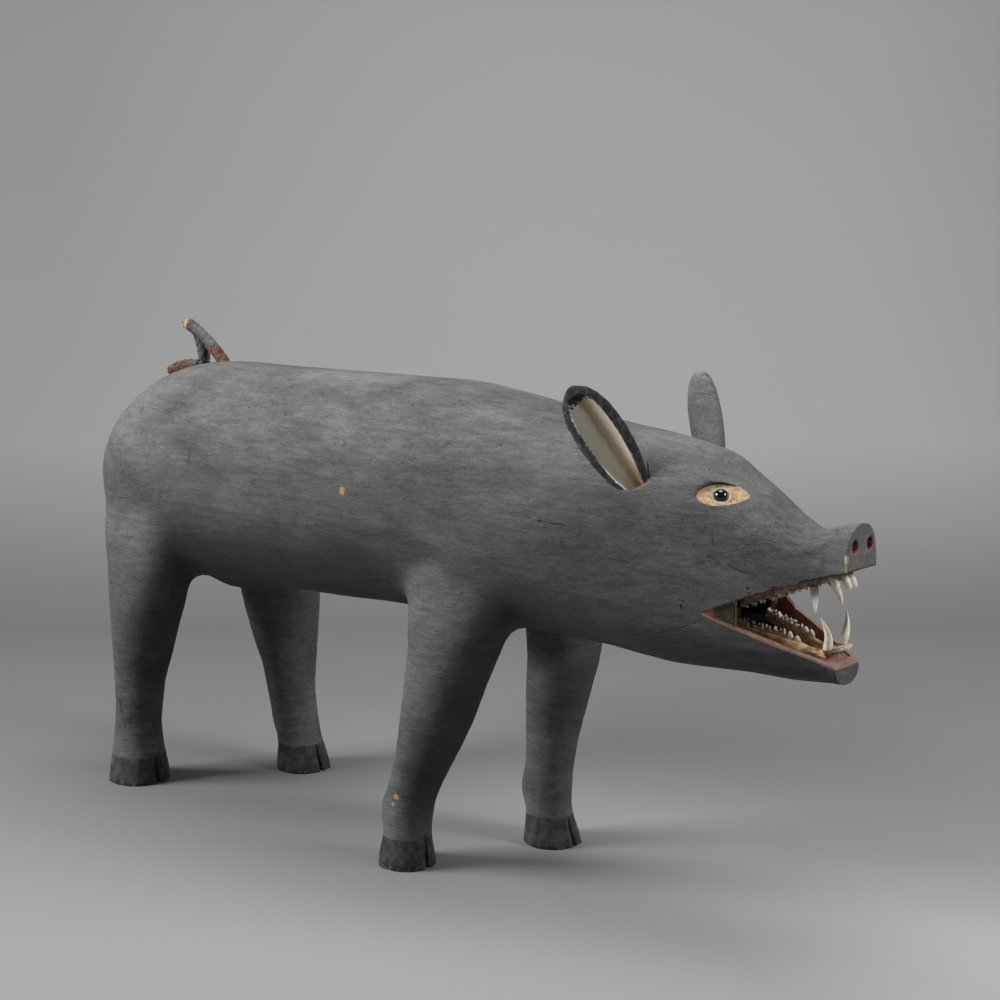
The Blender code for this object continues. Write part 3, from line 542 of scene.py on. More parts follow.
CRACKS = [((0.658, 0.633), (0.682, 0.628), 0.0011), ((0.682, 0.628), (0.704, 0.620), 0.0012),
          ((0.707, 0.556), (0.732, 0.566), 0.0008), ((0.732, 0.566), (0.757, 0.578), 0.0008),
          ((0.528, 0.518), (0.566, 0.526), 0.0009), ((0.650, 0.478), (0.646, 0.462), 0.0016),
          ((0.120, 0.700), (0.122, 0.712), 0.0020), ((0.124, 0.720), (0.126, 0.728), 0.0016)]
CRACKS = [(seen_at(*start), seen_at(*end), width) for start, end, width in CRACKS]
body_mesh.materials.append(body_paint())
print("marks:", len(CHIPS), "chips,", len(KNOTS), "knots,", len(CRACKS), "cracks")

# %% [markdown]
# The face is where the carver changed colours: the lips are painted rose, their
# undersides a dark red that is partly red paint and partly painted shade, the web
# of the cheek olive brown, and the hollows of the jaws keep the yellow of old glue
# and bone dust. Carved edges divide these fields, so each face of the skin is given
# to one field by where it lies and how it is turned.

# %% Paint the lips, cheeks, nostrils and eyelids
THOUSANDTH = 0.00119
MOUTH_CORNER = (376, 315)
LOWER_LIP_TIP = (489, 275)
UPPER_LIP = ((376, 441, 500, 530), (315, 343, 361, 370))
CHEEK_FRONT = 405
COAT, EYELID, EYELID_WALL_SHADE, NOSTRIL, ROSE_LIP, SHADED_RED_LIP, CHEEK, THROAT, GUM = range(9)
NOSTRIL_MIDDLE, NOSTRIL_HALF_SIZE = (12.6, 382), (6.2, 7.7)
ALMOND_MIDDLE, ALMOND_HALF_SIZE = (1.8, 0.36), (28, 15)
HEAD_START = 0.388
EYELIDS = {
    -1: (Vector((0.453985, -0.049926, 0.50099)),
         (Vector((0.768975, 0.639279, 0.0)), Vector((-0.464594, 0.55885, 0.686906)),
          Vector((0.439125, -0.528213, 0.726746)))),
    1: (Vector((0.453985, 0.063961, 0.48195)),
        (Vector((0.928528, -0.371263, 0.0)), Vector((-0.143907, -0.35991, 0.921822)),
         Vector((0.342239, 0.855937, 0.387614))))}


def lower_lip(x):
    return MOUTH_CORNER[1] + (x - MOUTH_CORNER[0]) * (LOWER_LIP_TIP[1] - MOUTH_CORNER[1]) / (
        LOWER_LIP_TIP[0] - MOUTH_CORNER[0])


def upper_lip(x):
    return read_off(x, *UPPER_LIP)


def in_eyelid(place):
    """Place on the axes of the eyelid on its side: along, up and out of it, in millimetres."""
    middle, axes = EYELIDS[1 if place.y > 0 else -1]
    return tuple((place - middle).dot(axis) * 1000 for axis in axes)


def inside_almond(along, up, grow):
    reach = (along - ALMOND_MIDDLE[0]) / (ALMOND_HALF_SIZE[0] * grow)
    height = ALMOND_HALF_SIZE[1] * grow
    return abs(reach) < 1 and abs(up - ALMOND_MIDDLE[1]) < height * (1 - reach ** 2) ** 0.6


def face_field(centre, normal):
    """Which painted field a face of the head belongs to."""
    x, y, z = centre / THOUSANDTH
    along, up, out = in_eyelid(centre)
    if abs(out) < 9 and inside_almond(along, up, 1.02):
        facing = normal.dot(EYELIDS[1 if y > 0 else -1][1][2])
        if out < -3.6 and facing > 0.5:
            return EYELID
        # The walls of the almond recess are painted dark as painted shade under the lid's edge.
        if out < 2 and facing < 0.62:
            return EYELID_WALL_SHADE
    from_nostril = math.hypot((abs(y) - NOSTRIL_MIDDLE[0]) / NOSTRIL_HALF_SIZE[0],
                              (z - NOSTRIL_MIDDLE[1]) / NOSTRIL_HALF_SIZE[1])
    if 484 < x < 499.8 and from_nostril < 1.02:
        return NOSTRIL
    if x < 328 or not 256 < z < 379:
        return COAT
    low, high = lower_lip(x), upper_lip(x)
    turned_in = normal.y * y < 0
    inner = turned_in or abs(normal.x) > 0.6 or abs(normal.z) > 0.55
    if x > MOUTH_CORNER[0] and abs(z - low) < 1.3 and normal.z > 0.6:
        return ROSE_LIP
    # Faces under the upper lip that look down: red lip paint darkened as painted shade.
    if x > MOUTH_CORNER[0] and abs(z - high) < 1.3 and normal.z < -0.6:
        return SHADED_RED_LIP
    on_web = MOUTH_CORNER[0] <= x < CHEEK_FRONT + 2.5 and low - 0.8 < z < high + 0.8
    if on_web and abs(y) > 42 and not turned_in:
        return CHEEK
    if x < CHEEK_FRONT + 2 and inner and abs(y) < 47 and 278 < z < 342:
        return THROAT
    outside = x < MOUTH_CORNER[0] or x > 492 or z > high + 9 or z < low - 22 or (x > 488 and z < 300)
    if not inner or outside or (z < low and normal.z < -0.3):
        return COAT
    return GUM


def two_grains(finish, scale, fine):
    """A coarse grain with a finer one over it."""
    return finish.plus(finish.times(finish.grain(scale, 5.0, 0.65), 0.6),
                       finish.times(finish.grain(fine, 3.0, 0.6), 0.4))


def mottled(name, dark, mid, pale, scale, roughness=0.6, stains=None):
    """Thin paint in three tones over a slightly rough ground, with darker stains."""
    finish = Finish(name)
    tone = two_grains(finish, scale, scale * 5)
    colour = finish.ramp(tone, (0.36, dark), (0.50, mid), (0.66, pale))
    if stains:
        dirt = finish.between(finish.grain(scale * 1.7, 4.0, 0.7, distortion=1.0), 0.54, 0.66)
        colour = finish.blend(finish.times(dirt, 0.75), colour, stains)
    return finish.finish(colour, roughness, finish.bump(tone, 0.35, 0.001))


def cheek_paint():
    """Olive brown on the web of the cheek, rose at the corner of the mouth."""
    cheek = Finish("olive cheek")
    tone = two_grains(cheek, 110, 500)
    olive = cheek.ramp(tone, (0.38, (0.018, 0.012, 0.005)), (0.50, (0.045, 0.031, 0.013)),
                       (0.62, (0.085, 0.060, 0.027)))
    corner = cheek.between(cheek.plus(cheek.axis("X"), cheek.times(tone, 0.006)), 0.4650, 0.4590)
    colour = cheek.blend(corner, olive, (0.27, 0.085, 0.075))
    edge = cheek.between(cheek.axis("X"), 0.4814, 0.4818)
    outer = cheek.between(cheek.sums("ABSOLUTE", cheek.axis("Y")), 0.0578, 0.0588)
    colour = cheek.blend(edge, colour, cheek.blend(outer, (0.020, 0.012, 0.008), (0.24, 0.19, 0.075)))
    return cheek.finish(colour, 0.55, cheek.bump(tone, 0.35, 0.001))


def throat_paint():
    """Nearly black far in as painted shade, brownish pink on the walls near the opening."""
    throat = Finish("throat with painted deep shade")
    tone = throat.grain(120, 5.0, 0.65)
    deep = throat.ramp(tone, (0.35, (0.003, 0.002, 0.002)), (0.65, (0.018, 0.010, 0.008)))
    flesh = throat.ramp(tone, (0.35, (0.085, 0.038, 0.030)), (0.65, (0.26, 0.135, 0.11)))
    colour = throat.blend(throat.between(throat.axis("X"), 0.462, 0.482), deep, flesh)
    return throat.finish(colour, 0.6, throat.bump(tone, 0.35, 0.001))


def nostril_paint():
    inside = Finish("nostril red with painted shade")
    tone = inside.grain(240, 4.0)
    red = inside.ramp(tone, (0.35, (0.22, 0.022, 0.024)), (0.65, (0.48, 0.10, 0.085)))
    # Painted shade: the upper part of the nostril hole is painted near black under its rim, and the red shows
    # below it.
    upper = inside.between(inside.axis("Z"), 0.4545, 0.4580)
    colour = inside.blend(upper, red, (0.012, 0.007, 0.007))
    return inside.finish(colour, 0.45, inside.bump(tone, 0.3, 0.0008))


def eyelid_paint():
    """Peach paint in the recess, paler in a ring round the glass."""
    lid = Finish("eyelid peach")
    tone = lid.grain(210, 5.0, 0.65)
    peach = lid.ramp(tone, (0.35, (0.30, 0.175, 0.085)), (0.5, (0.52, 0.36, 0.19)),
                     (0.66, (0.66, 0.50, 0.30)))
    rings = [lid.spot(middle - axes[2] * 0.0040, (0.0105,) * 3, 0.12, 500)
             for middle, axes in EYELIDS.values()]
    colour = lid.blend(lid.sums("MAXIMUM", *rings), peach, (0.66, 0.60, 0.45))
    dirt = lid.between(lid.grain(330, 4.0, 0.7), 0.58, 0.68)
    colour = lid.blend(lid.times(dirt, 0.5), colour, (0.09, 0.05, 0.035))
    return lid.finish(colour, 0.55, lid.bump(tone, 0.35, 0.0008))


FIELDS = [
    eyelid_paint(),
    # The recess walls are painted near black as painted shade under the lid.
    mottled("eyelid wall painted shade", (0.020, 0.016, 0.015), (0.060, 0.042, 0.038), (0.13, 0.085, 0.07), 300),
    nostril_paint(),
    mottled("rose lip", (0.24, 0.125, 0.105), (0.36, 0.215, 0.18), (0.44, 0.29, 0.25), 150, 0.5,
            (0.10, 0.045, 0.035)),
    mottled("dark red lip with painted shade", (0.045, 0.012, 0.011), (0.085, 0.026, 0.022), (0.15, 0.06, 0.05), 160, 0.5),
    cheek_paint(),
    throat_paint(),
    mottled("old gum", (0.13, 0.060, 0.040), (0.29, 0.155, 0.105), (0.42, 0.26, 0.19), 130, 0.6,
            (0.07, 0.022, 0.018)),
]
for field in FIELDS:
    body_mesh.materials.append(field)
counts = [0] * (len(FIELDS) + 1)
for polygon in body_mesh.polygons:
    if polygon.center.x > HEAD_START:
        polygon.material_index = face_field(polygon.center, polygon.normal)
        counts[polygon.material_index] += 1
print("faces of the head by field:", counts)

# %% [markdown]
# The eyes are glass balls, such as are sold for stuffed animals. A ball this glossy
# shows the lamps as small sharp lights, and those lights are what make it look
# alive, so the ball is kept perfectly round and almost mirror smooth.

# %% Set the glass eyes
GLASS_RADIUS = 0.00795


def glass_black():
    glass = Finish("black glass")
    tint = glass.ramp(glass.grain(90, 2.0), (0.3, (0.0015, 0.0014, 0.0014)), (0.7, (0.006, 0.005, 0.005)))
    smear = glass.ramp(glass.grain(300, 3.0), (0.4, 0.035), (0.75, 0.09))
    return glass.finish(tint, smear, Coat_Weight=0.6, Coat_Roughness=0.02)


def solid_middle(node):
    places = [solids[node].matrix_world @ Vector(c) for c in solids[node].bound_box]
    return (Vector(map(min, *places)) + Vector(map(max, *places))) / 2


def glass_ball(node):
    bm = bmesh.new()
    bmesh.ops.create_uvsphere(bm, u_segments=64, v_segments=32, radius=GLASS_RADIUS)
    bmesh.ops.translate(bm, vec=solid_middle(node), verts=bm.verts)
    mesh = smooth_mesh(bm, node)
    mesh.materials.append(black_glass)
    placed(f"glass_{node}", mesh, node)


black_glass = glass_black()
for node in ("right_eye", "left_eye"):
    glass_ball(node)
print("eyes", round(2 * GLASS_RADIUS, 4), "m across")

# %% [markdown]
# Each ear is a separate piece of wood, cut like half a pod and pegged into the
# head. Its back carries the grey coat, its rim and the tip of its hollow are
# charcoal, and the hollow was brushed with cream that stops raggedly short of the
# rim. The cream is painted whitest on the rear wall as painted light, tan along the
# middle as painted shade in the hollow, and stained darker at the foot.

# %% Carve and paint the ears
def ear_frame(side):
    """The ear's own axes (across, out of its back, along) and its foot, for side -1 or 1."""
    return Matrix(((-0.805678 * side, -0.388944, -0.446772, 0.36176),
                   (0.251664, -0.907532 * side, 0.336231 * side, 0.07735 * side),
                   (-0.536235 * side, 0.158457, 0.829062, 0.50218), (0, 0, 0, 1)))


EAR_FRAMES = {"right_ear": ear_frame(-1), "left_ear": ear_frame(1)}
EAR_LENGTH = 0.128
EAR_HALF_WIDTH = ((0.0, 0.1, 0.25, 0.5, 0.7, 0.85, 0.94, 1.0),
                  (0.0165, 0.0219, 0.0270, 0.0300, 0.0285, 0.0231, 0.0156, 0.0030))


def mark_points(mesh, name, values):
    attribute = mesh.attributes.new(name, "FLOAT", "POINT")
    attribute.data.foreach_set("value", np.array(values, np.float32))


def ear_masks(mesh, node):
    """How much cream each point of an ear has, and where on the ear it lies."""
    back = EAR_FRAMES[node].inverted()
    masks = {"cream": [], "front": [], "side": [], "length": []}
    for vertex in mesh.vertices:
        across, deep, along = back @ vertex.co
        share = along / EAR_LENGTH
        side = across / read_off(share, *EAR_HALF_WIDTH)
        front = read_off((back.to_3x3() @ vertex.normal).y, (0.1, 0.5), (1, 0))
        masks["cream"].append(front * np.interp(abs(side), (0.54, 0.74), (1, 0))
                              * np.interp(share, (0.76, 0.92), (1, 0)))
        masks["front"].append(front)
        masks["side"].append(side)
        masks["length"].append(share)
    for name, values in masks.items():
        mark_points(mesh, name, values)


def ear_paint(chipped_rim):
    ear = Finish("grey and cream ear paint")
    grey, _, relief = sawdust_coat(ear, 0.6)
    streaks = ear.grain(1.0, 4.0, 0.65, ear.stretched((300, 300, 60)))
    tone = ear.grain(150, 5.0, 0.65)
    grey = ear.blend(1.0, grey, (1.25, 1.25, 1.25), "MULTIPLY")
    charcoal = ear.ramp(tone, (0.36, (0.012, 0.012, 0.013)), (0.52, (0.040, 0.040, 0.042)), (0.68, 0.10))
    grey = ear.blend(ear.painted("front"), grey, charcoal)
    place = ear.plus(ear.times(ear.painted("side"), 0.5), ear.times(streaks, 0.16), 0.42)
    # Painted light and shade in the hollow: white where the rear wall is lit, tan in the shade along the
    # middle, paler cream on the forward wall.
    cream = ear.ramp(place, (0.28, (0.96, 0.94, 0.86)), (0.38, (0.90, 0.84, 0.70)),
                     (0.47, (0.44, 0.34, 0.23)), (0.58, (0.50, 0.40, 0.27)),
                     (0.70, (0.78, 0.70, 0.54)), (0.85, (0.66, 0.57, 0.42)))
    low = ear.between(ear.plus(ear.painted("length"), ear.times(streaks, 0.15)), 0.34, 0.14)
    forward = ear.between(ear.painted("side"), -0.15, 0.10)
    cream = ear.blend(ear.times(low, forward), cream, (0.46, 0.31, 0.16))
    ragged = ear.plus(ear.painted("cream"), ear.times(ear.grain(260, 4.0, 0.75), 1.3))
    colour = ear.blend(ear.between(ragged, 1.02, 1.14), grey, cream)
    if chipped_rim:
        worn = ear.times(ear.between(ear.grain(230, 4.0, 0.7), 0.56, 0.62),
                         ear.between(ear.painted("side"), -0.78, -0.92))
        worn = ear.times(worn, ear.between(ear.painted("length"), 0.35, 0.55))
        colour = ear.blend(worn, colour, (0.40, 0.28, 0.16))
    relief = ear.bump(streaks, 0.35, 0.0016, relief)
    return ear.finish(colour, 0.8, relief)


def make_ear(node):
    mesh = smooth_mesh(refined(node, lambda place: 0.0026, lambda place: math.radians(42), 30), node)
    ear_masks(mesh, node)
    mesh.materials.append(ear_paint(node == "right_ear"))
    return placed(f"carved_{node}", mesh, node)


for node in EAR_FRAMES:
    print(node, len(make_ear(node).data.polygons), "faces")

# %% [markdown]
# The tusks and fangs are real teeth. A tusk is a long bent cone, smooth and ivory
# coloured, finely lined along its length, darker and browner where it leaves the
# bone. Each is turned from a few rings that follow its bend.

# %% Shape the tusks and fangs
def table(pairs, x):
    places, values = zip(*pairs)
    return read_off(x, places, values)


GUM_RISE = [(386, -9.5), (410, -5), (445, 0.5), (462, 1), (471, 6), (480, 9)]
STRIP_DROP = 6.5
ROOT_DEPTH = 0.007
TUSK_RISE, TUSK_RADIUS = 0.036, 0.0049
CANINE_DROP, CANINE_RADIUS = 0.026, 0.0044


def gum(x):
    return lower_lip(x) + table(GUM_RISE, x)


def skin_over(bm, rings):
    """Faces between each ring of points and the next, and over both ends."""
    for near, far in zip(rings, rings[1:]):
        for k in range(len(near)):
            j = (k + 1) % len(near)
            bm.faces.new((near[k], near[j], far[j], far[k]))
    bm.faces.new(rings[0][::-1])
    bm.faces.new(rings[-1])


def mark_new(bm, first, layer, share):
    """Write share(place) on every point added since the first one given."""
    bm.verts.ensure_lookup_table()
    for vertex in bm.verts[first:]:
        vertex[layer] = share(vertex.co)


def loft_tube(bm, points, radii, sides, squeeze=1.0, ridge=0.0):
    """A closed tube through points, its section slightly ridged if asked."""
    rows = []
    for i, (centre, radius) in enumerate(zip(points, radii)):
        ahead, behind = points[min(i + 1, len(points) - 1)], points[max(i - 1, 0)]
        turn = (ahead - behind).to_track_quat("Z", "Y").to_matrix()
        row = []
        for k in range(sides):
            angle = 2 * math.pi * k / sides
            reach = radius * (1 + ridge * math.cos(3 * angle))
            row.append(bm.verts.new(centre + turn @ Vector((reach * math.cos(angle),
                                                            reach * squeeze * math.sin(angle), 0))))
        rows.append(row)
    skin_over(bm, rows)


def tooth_ivory():
    ivory = Finish("tooth ivory")
    lines = ivory.grain(1.0, 4.0, 0.6, ivory.stretched((900, 900, 70)))
    clouds = ivory.grain(160, 4.0, 0.6)
    colour = ivory.ramp(clouds, (0.35, (0.68, 0.60, 0.44)), (0.5, (0.84, 0.78, 0.63)),
                        (0.65, (0.90, 0.87, 0.76)))
    colour = ivory.blend(ivory.times(ivory.between(lines, 0.52, 0.70), 0.35), colour, (0.46, 0.36, 0.22))
    ragged = ivory.between(ivory.plus(ivory.painted("root"), ivory.times(clouds, 0.5)), 0.75, 1.15)
    colour = ivory.blend(ragged, colour, (0.30, 0.17, 0.075))
    return ivory.finish(colour, 0.33, ivory.bump(lines, 0.25, 0.0005))


def fang(node, base, tip, radius, bow):
    """A tooth that bows forward between base and tip."""
    axis = (tip - base).normalized()
    points, radii = [base - axis * ROOT_DEPTH], [radius * 0.86]
    for share in np.linspace(0, 1, 18):
        points.append(base.lerp(tip, share) + bow * math.sin(math.pi * share))
        radii.append(radius * (1 - share ** 1.6) * 0.99 + 0.00035)
    bm = bmesh.new()
    loft_tube(bm, points, radii, 28, ridge=0.035)
    mesh = smooth_mesh(bm, node)
    mark_points(mesh, "root", [np.interp((v.co - base).dot(axis), (0.0, ROOT_DEPTH), (1, 0))
                               for v in mesh.vertices])
    mesh.materials.append(ivory)
    placed(f"fine_{node}", mesh, node)


ivory = tooth_ivory()
for word, side in (("right", -1), ("left", 1)):
    base = Vector((475, side * 11.5, gum(475))) * THOUSANDTH
    tip = base + Vector((-1 * THOUSANDTH, side * 10.9 * THOUSANDTH, TUSK_RISE))
    fang(f"{word}_tusk", base, tip, TUSK_RADIUS, Vector((0.0042, side * -0.001, 0)))
    base = Vector((462, side * 15, upper_lip(462) - STRIP_DROP)) * THOUSANDTH
    tip = base + Vector((7 * THOUSANDTH, side * 8 * THOUSANDTH, -CANINE_DROP))
    fang(f"{word}_upper_canine", base, tip, CANINE_RADIUS, Vector((0.0015, side * 0.0015, 0)))
print("two tusks and two fangs")

# %% [markdown]
# The jawbones are real too, sawn to fit the carved mouth and glued in. Bone is
# porous and yellowed with glue; the cheek teeth stand in it in a close row, each
# with one or two worn cusps, and the front teeth lean forward like pegs. The bone
# is laid as a rough bar that follows the tooth row, and every tooth is set into it
# one by one, a little unevenly, since no two of them wear alike.

# %% Lay the jawbones and set their teeth
LOWER_ROW = [(386, 27), (410, 20), (444, 12), (462, 10), (480, 9.5)]
UPPER_ROW = [(392, 30), (420, 24), (444, 18), (462, 14.5), (484, 9)]
BAR_SIDES = 20
BAR_HALF_WIDTH = 4.4
dice = random.Random(7)


def bone_bar(bm, xs, row, low, high, half_width):
    """A bar of bone along a row of teeth, its skin pitted by noise."""
    rows = []
    for x in xs:
        bottom, top = low(x), high(x)
        ring = []
        for k in range(BAR_SIDES):
            angle = 2 * math.pi * k / BAR_SIDES
            side = math.copysign(abs(math.cos(angle)) ** 0.6, math.cos(angle)) * half_width
            up = math.copysign(abs(math.sin(angle)) ** 0.6, math.sin(angle)) * (top - bottom) / 2
            place = Vector((x, row(x) + side, (top + bottom) / 2 + up))
            pit = noise.noise(place * 0.55) * 0.45 + noise.noise(place * 1.4) * 0.25 - 0.45
            inward = Vector((0, side, up)).normalized()
            ring.append(bm.verts.new((place + inward * pit) * THOUSANDTH))
        rows.append(ring)
    skin_over(bm, rows)


def cheek_tooth(bm, x, y, z, rise, length, width, cusps, mark):
    """A crown with a row of cusps: wide at the neck, worn to blunt points."""
    first = len(bm.verts)
    share = length / cusps
    for cusp in range(cusps):
        shift = (cusp - (cusps - 1) / 2) * share * 1.05
        peak = rise * (0.86 + 0.28 * dice.random())
        points = [Vector((x + shift, y, z + peak * part)) for part in (0, 0.50, 0.80)]
        points.append(Vector((x + shift + dice.uniform(-0.2, 0.2), y, z + peak)))
        loft_tube(bm, [p * THOUSANDTH for p in points],
                  [share * part * THOUSANDTH for part in (0.58, 0.62, 0.47, 0.14)], 10,
                  squeeze=width / (share * 1.2))
    worn, whole = 0.25 * abs(rise), 0.8 * abs(rise)
    mark_new(bm, first, mark, lambda place: read_off(abs(place.z / THOUSANDTH - z), (worn, whole), (0.25, 1)))


def bone_finish(name, dark, mid, pale):
    bone = Finish(name)
    pores = bone.grain(420, 4.0, 0.7)
    clouds = bone.grain(110, 5.0, 0.65)
    ochre = bone.ramp(clouds, (0.34, dark), (0.47, mid), (0.66, pale))
    holes = bone.between(pores, 0.60, 0.68)
    ochre = bone.blend(bone.times(holes, 0.65), ochre, (0.06, 0.028, 0.014))
    enamel = bone.ramp(clouds, (0.35, (0.62, 0.54, 0.40)), (0.5, (0.80, 0.75, 0.63)),
                       (0.66, (0.88, 0.86, 0.78)))
    crown = bone.between(bone.painted("enamel"), 0.25, 0.60)
    colour = bone.blend(crown, ochre, enamel)
    normal = bone.bump(pores, 0.4, 0.0010)
    return bone.finish(colour, 0.42, bone.bump(clouds, 0.3, 0.0016, normal))


def piece_of_bone(name, build, node, coat):
    bm = bmesh.new()
    mark = bm.verts.layers.float.new("enamel")
    build(bm, mark)
    bmesh.ops.recalc_face_normals(bm, faces=bm.faces)
    mesh = smooth_mesh(bm, name)
    mesh.materials.append(coat)
    mesh.materials.append(wet_gum)
    return placed(name, mesh, node)


def bone_foot(x):
    """Height of the lower bone's underside."""
    return lower_lip(x) - 5.6 - (482 - x) * 0.1


def gum_mound(bm):
    """The pad of gum at the jaw's tip, raised in the middle under the front teeth."""
    first = len(bm.faces)
    rings = []
    for x in np.linspace(454.5, 480.8, 22):
        half = read_off(x, (454, 481), (26.5, 16.2))
        ring = []
        for k in range(29):
            y = half * (k / 14 - 1)
            z = lower_lip(x) - 1.2 + 0.7 * noise.noise(Vector((x, y, 3)) * 0.35)
            z += 6.0 * math.exp(-((x - 474.5) / 5.0) ** 2 - (y / 12.5) ** 4)
            ring.append(bm.verts.new(Vector((x, y, z)) * THOUSANDTH))
        for y in (half, -half):
            ring.append(bm.verts.new(Vector((x, y, lower_lip(x) - 5)) * THOUSANDTH))
        rings.append(ring)
    skin_over(bm, rings)
    bm.faces.ensure_lookup_table()
    for face in bm.faces[first:]:
        face.material_index = 1


def lower_bone(bm, mark):
    for side in (-1, 1):
        bone_bar(bm, np.linspace(388.5, 475.5, 70), lambda x: side * table(LOWER_ROW, x), bone_foot,
                 lambda x: gum(x) + 0.2, BAR_HALF_WIDTH)
        for i in range(9):
            x = 391.5 + i * 53.0 / 8
            big = read_off(x, (391, 425, 444), (1.05, 1.0, 0.82))
            cheek_tooth(bm, x, side * table(LOWER_ROW, x), gum(x) - 2.6, 9.4 * big, 6.6, 2.9,
                        2 if i in (1, 3, 4, 6) else 1, mark)
    bone_bar(bm, np.linspace(462.5, 474, 14), lambda x: 0, bone_foot, lambda x: gum(x) - 2, 11)
    gum_mound(bm)
    for y in (-9.2, -5.8, -3.0, 3.0, 5.8, 9.2):
        base = Vector((472.5, y * 0.8, gum(474) - 3)) * THOUSANDTH
        top = Vector((493 - abs(y) * 0.55, y * 0.9, gum(480) + 3.6 + dice.uniform(-1.6, 0.2))) * THOUSANDTH
        first = len(bm.verts)
        loft_tube(bm, [base.lerp(top, share) for share in (0, 0.4, 0.8, 1)],
                  [0.0023, 0.0022, 0.0019, 0.0010], 14)
        mark_new(bm, first, mark, lambda place: read_off(place.x / THOUSANDTH, (474, 479), (0.1, 1)))


def upper_bone(bm, mark):
    for side in (-1, 1):
        bone_bar(bm, np.unique(np.append(np.linspace(396.5, 484.5, 70), 441)),
                 lambda x: side * table(UPPER_ROW, x), lambda x: upper_lip(x) - STRIP_DROP + 0.1,
                 lambda x: upper_lip(x) + 6.6, BAR_HALF_WIDTH)
        for i in range(7):
            x = 400 + i * 8.0
            cheek_tooth(bm, x, side * table(UPPER_ROW, x), upper_lip(x) - STRIP_DROP + 1.5, -4.2,
                        6.5, 2.4, 2, mark)
        for x, y, reach in ((484, 4.8, 0.0158), (478, 12.5, 0.0123)):
            base = Vector((x, side * y, upper_lip(x))) * THOUSANDTH
            top = base + Vector((reach * 0.62, 0, -reach))
            first = len(bm.verts)
            loft_tube(bm, [base.lerp(top, share) for share in (0, 0.5, 0.85, 1)],
                      [0.0048, 0.0049, 0.0042, 0.0022], 16, squeeze=0.85)
            mark_new(bm, first, mark, lambda place: 1.0)


LOWER_COAT = bone_finish("yellowed bone and teeth",
                         (0.27, 0.145, 0.052), (0.68, 0.45, 0.19), (0.86, 0.71, 0.44))
UPPER_COAT = bone_finish("brown bone and teeth",
                         (0.050, 0.022, 0.014), (0.20, 0.115, 0.075), (0.36, 0.25, 0.18))
wet_gum = mottled("painted gum", (0.10, 0.022, 0.020), (0.27, 0.115, 0.095), (0.42, 0.24, 0.20), 190, 0.45,
                  (0.045, 0.008, 0.008))
for name, build, node, coat in (("lower_bone_and_teeth", lower_bone, "lower_jawbone", LOWER_COAT),
                                ("upper_bone_and_teeth", upper_bone, "upper_jawbone", UPPER_COAT)):
    print(name, len(piece_of_bone(name, build, node, coat).data.polygons), "faces")

# %% [markdown]
# The tail is a piece of three-strand rope, bent up and back on itself, stiffened
# with the same grey coat and let into the rump. Where the coat has broken away,
# near the rope's foot and at its lying end, the brown fibre shows, and the broken
# bend at the top is a tuft of pale straw. The strands are three lobes that turn
# round the rope's line once every 30 mm.

# %% Twist the rope tail
TAIL_PATHS = [[(-331, 0, 488), (-340, 0, 500), (-365, 0, 520), (-392, 0, 536), (-403, 0, 540)],
              [(-385, 1, 531), (-379, 2, 517), (-376, 2, 503), (-376, 3, 484)],
              [(-380, 0, 491), (-394, -3, 491), (-407, -5, 489.5), (-419, -6, 486), (-428, -6, 481.5)]]
ROPE_RADIUS = 0.0088
ROPE_STEPS = 90
ROPE_SIDES = 48
STRAND_TURN = 0.030
APEX = Vector((-405, -4, 540)) * THOUSANDTH
TUFTS = [((-403, 0, 538), (-0.5, -0.2, 0.5), 44, 0.0045, 0.0060),
         ((-424, -6, 484), (-0.7, -0.2, 0.1), 70, 0.0050, 0.0062),
         ((-412, -6, 488), (-0.3, -0.5, 0.5), 60, 0.0052, 0.0056),
         ((-345, 0, 507), (0.2, -0.6, 0.3), 50, 0.0052, 0.0050)]


def smooth_line(points, count):
    """Points evenly along a curve through a few given ones."""
    line = [Vector(p) * THOUSANDTH for p in points]
    for _ in range(5):
        finer = [line[0]]
        for a, b in zip(line, line[1:]):
            finer += [a.lerp(b, 0.25), a.lerp(b, 0.75)]
        line = finer + [line[-1]]
    lengths = np.cumsum([0] + [(b - a).length for a, b in zip(line, line[1:])])
    steps = np.linspace(0, lengths[-1], count)
    return [Vector([read_off(s, lengths, [p[k] for p in line]) for k in range(3)]) for s in steps]


def bareness(place):
    """Where the coat has broken off: on the slanting run near its foot, and at the lying end."""
    if place.x < -392 and place.z < 498:
        return 1.0
    if place.x > -366 and place.z < 520:
        return read_off(place.z, (498, 501, 514, 519), (0.0, 1.0, 1.0, 0.0))
    return 0.15


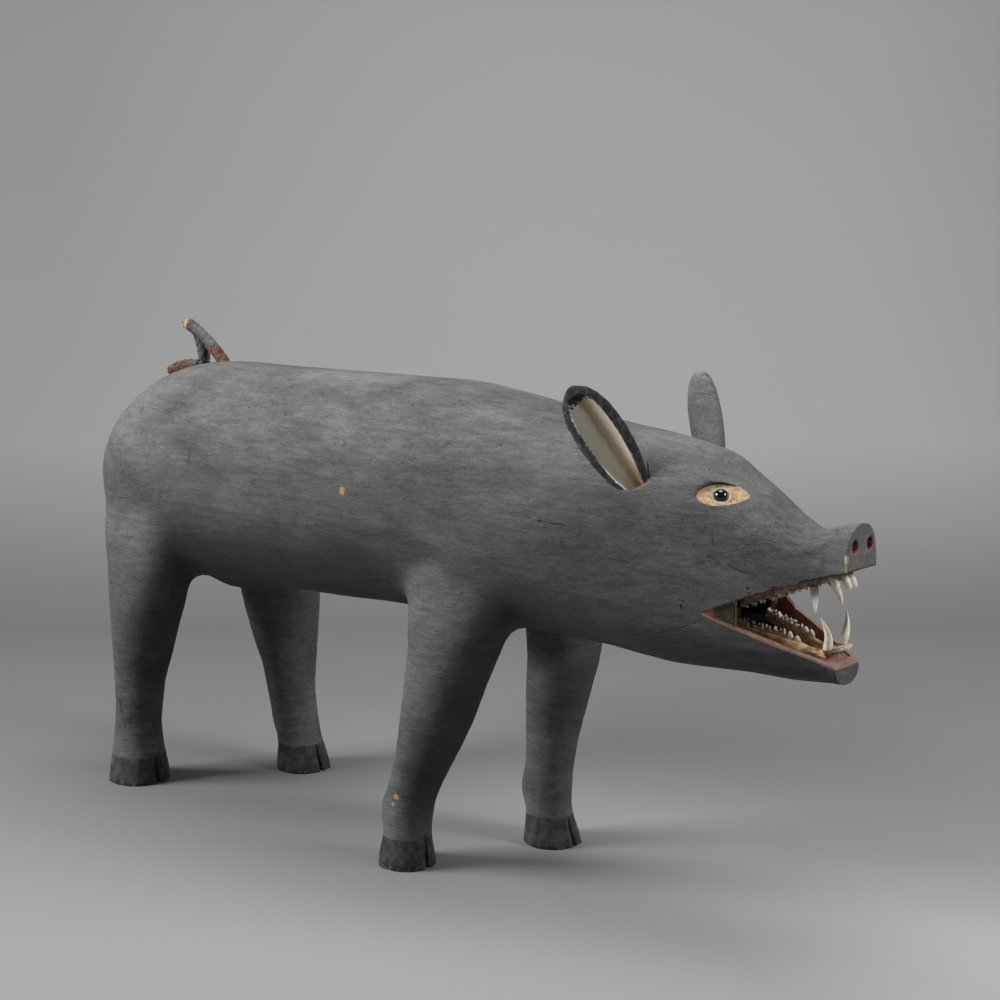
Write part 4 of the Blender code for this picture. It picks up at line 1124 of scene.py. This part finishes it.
def rope_into(bm, path, bare):
    line = smooth_line(path, ROPE_STEPS)
    last = ROPE_STEPS - 1
    travelled = 0.0
    rows = []
    for i, centre in enumerate(line):
        ahead, behind = line[min(i + 1, last)], line[max(i - 1, 0)]
        travelled += (centre - behind).length
        turn = (ahead - behind).to_track_quat("Z", "Y").to_matrix()
        shrink = min(1.0, 0.72 + 0.07 * min(i, last - i))
        row = []
        for k in range(ROPE_SIDES):
            angle = 2 * math.pi * k / ROPE_SIDES
            lobe = abs(math.cos(1.5 * (angle - 2 * math.pi * travelled / STRAND_TURN)))
            reach = ROPE_RADIUS * shrink * (0.90 + 0.10 * lobe ** 0.7)
            place = centre + turn @ Vector((reach * math.cos(angle), reach * math.sin(angle), 0))
            crumb = noise.noise(place * 260) * 0.0006 + noise.noise(place * 900) * 0.0004 - 0.0004
            place += (place - centre).normalized() * crumb
            vertex = bm.verts.new(place)
            vertex[bare] = bareness(place / THOUSANDTH) + noise.noise(place * 70) * 0.25
            row.append(vertex)
        rows.append(row)
    skin_over(bm, rows)


def tuft_into(bm, place, aim, count, spread, length, bare):
    """Short broken fibres that stick out of a rope's end."""
    for _ in range(count):
        start = place + Vector([dice.uniform(-spread, spread) for _ in range(3)])
        lean = (aim + Vector([dice.uniform(-0.45, 0.45) for _ in range(3)])).normalized()
        reach = length * dice.uniform(0.5, 1.0)
        first = len(bm.verts)
        loft_tube(bm, [start, start + lean * reach * 0.6, start + lean * reach], [0.00055, 0.0004, 0.0002], 5)
        mark_new(bm, first, bare, lambda place: 2.0)


def rope_finish():
    rope = Finish("coated rope")
    grey, _, relief = sawdust_coat(rope, 0.7)
    fibre = rope.grain(1.0, 4.0, 0.75, rope.stretched((520, 520, 260)), 1.5)
    straw = rope.ramp(fibre, (0.40, (0.020, 0.009, 0.004)), (0.50, (0.10, 0.043, 0.018)),
                      (0.62, (0.36, 0.21, 0.11)))
    mask = rope.between(rope.plus(rope.painted("bare"), rope.times(fibre, 0.25)), 0.58, 0.70)
    broken = rope.spot(APEX, (0.012, 0.012, 0.010), 0.35, 200)
    pale = rope.ramp(fibre, (0.38, (0.16, 0.085, 0.035)), (0.55, (0.62, 0.48, 0.25)))
    straw = rope.blend(broken, straw, pale)
    colour = rope.blend(rope.sums("MAXIMUM", mask, broken), grey, straw)
    return rope.finish(colour, 0.85, rope.bump(fibre, 0.6, 0.0012, relief))


def make_tail():
    bm = bmesh.new()
    bare = bm.verts.layers.float.new("bare")
    for path in TAIL_PATHS:
        rope_into(bm, path, bare)
    for place, aim, count, spread, length in TUFTS:
        tuft_into(bm, Vector(place) * THOUSANDTH, Vector(aim), count, spread, length, bare)
    bmesh.ops.recalc_face_normals(bm, faces=bm.faces)
    mesh = smooth_mesh(bm, "rope_tail")
    mesh.materials.append(rope_finish())
    return placed("rope_tail", mesh, "tail")


print("rope tail:", len(make_tail().data.polygons), "faces")
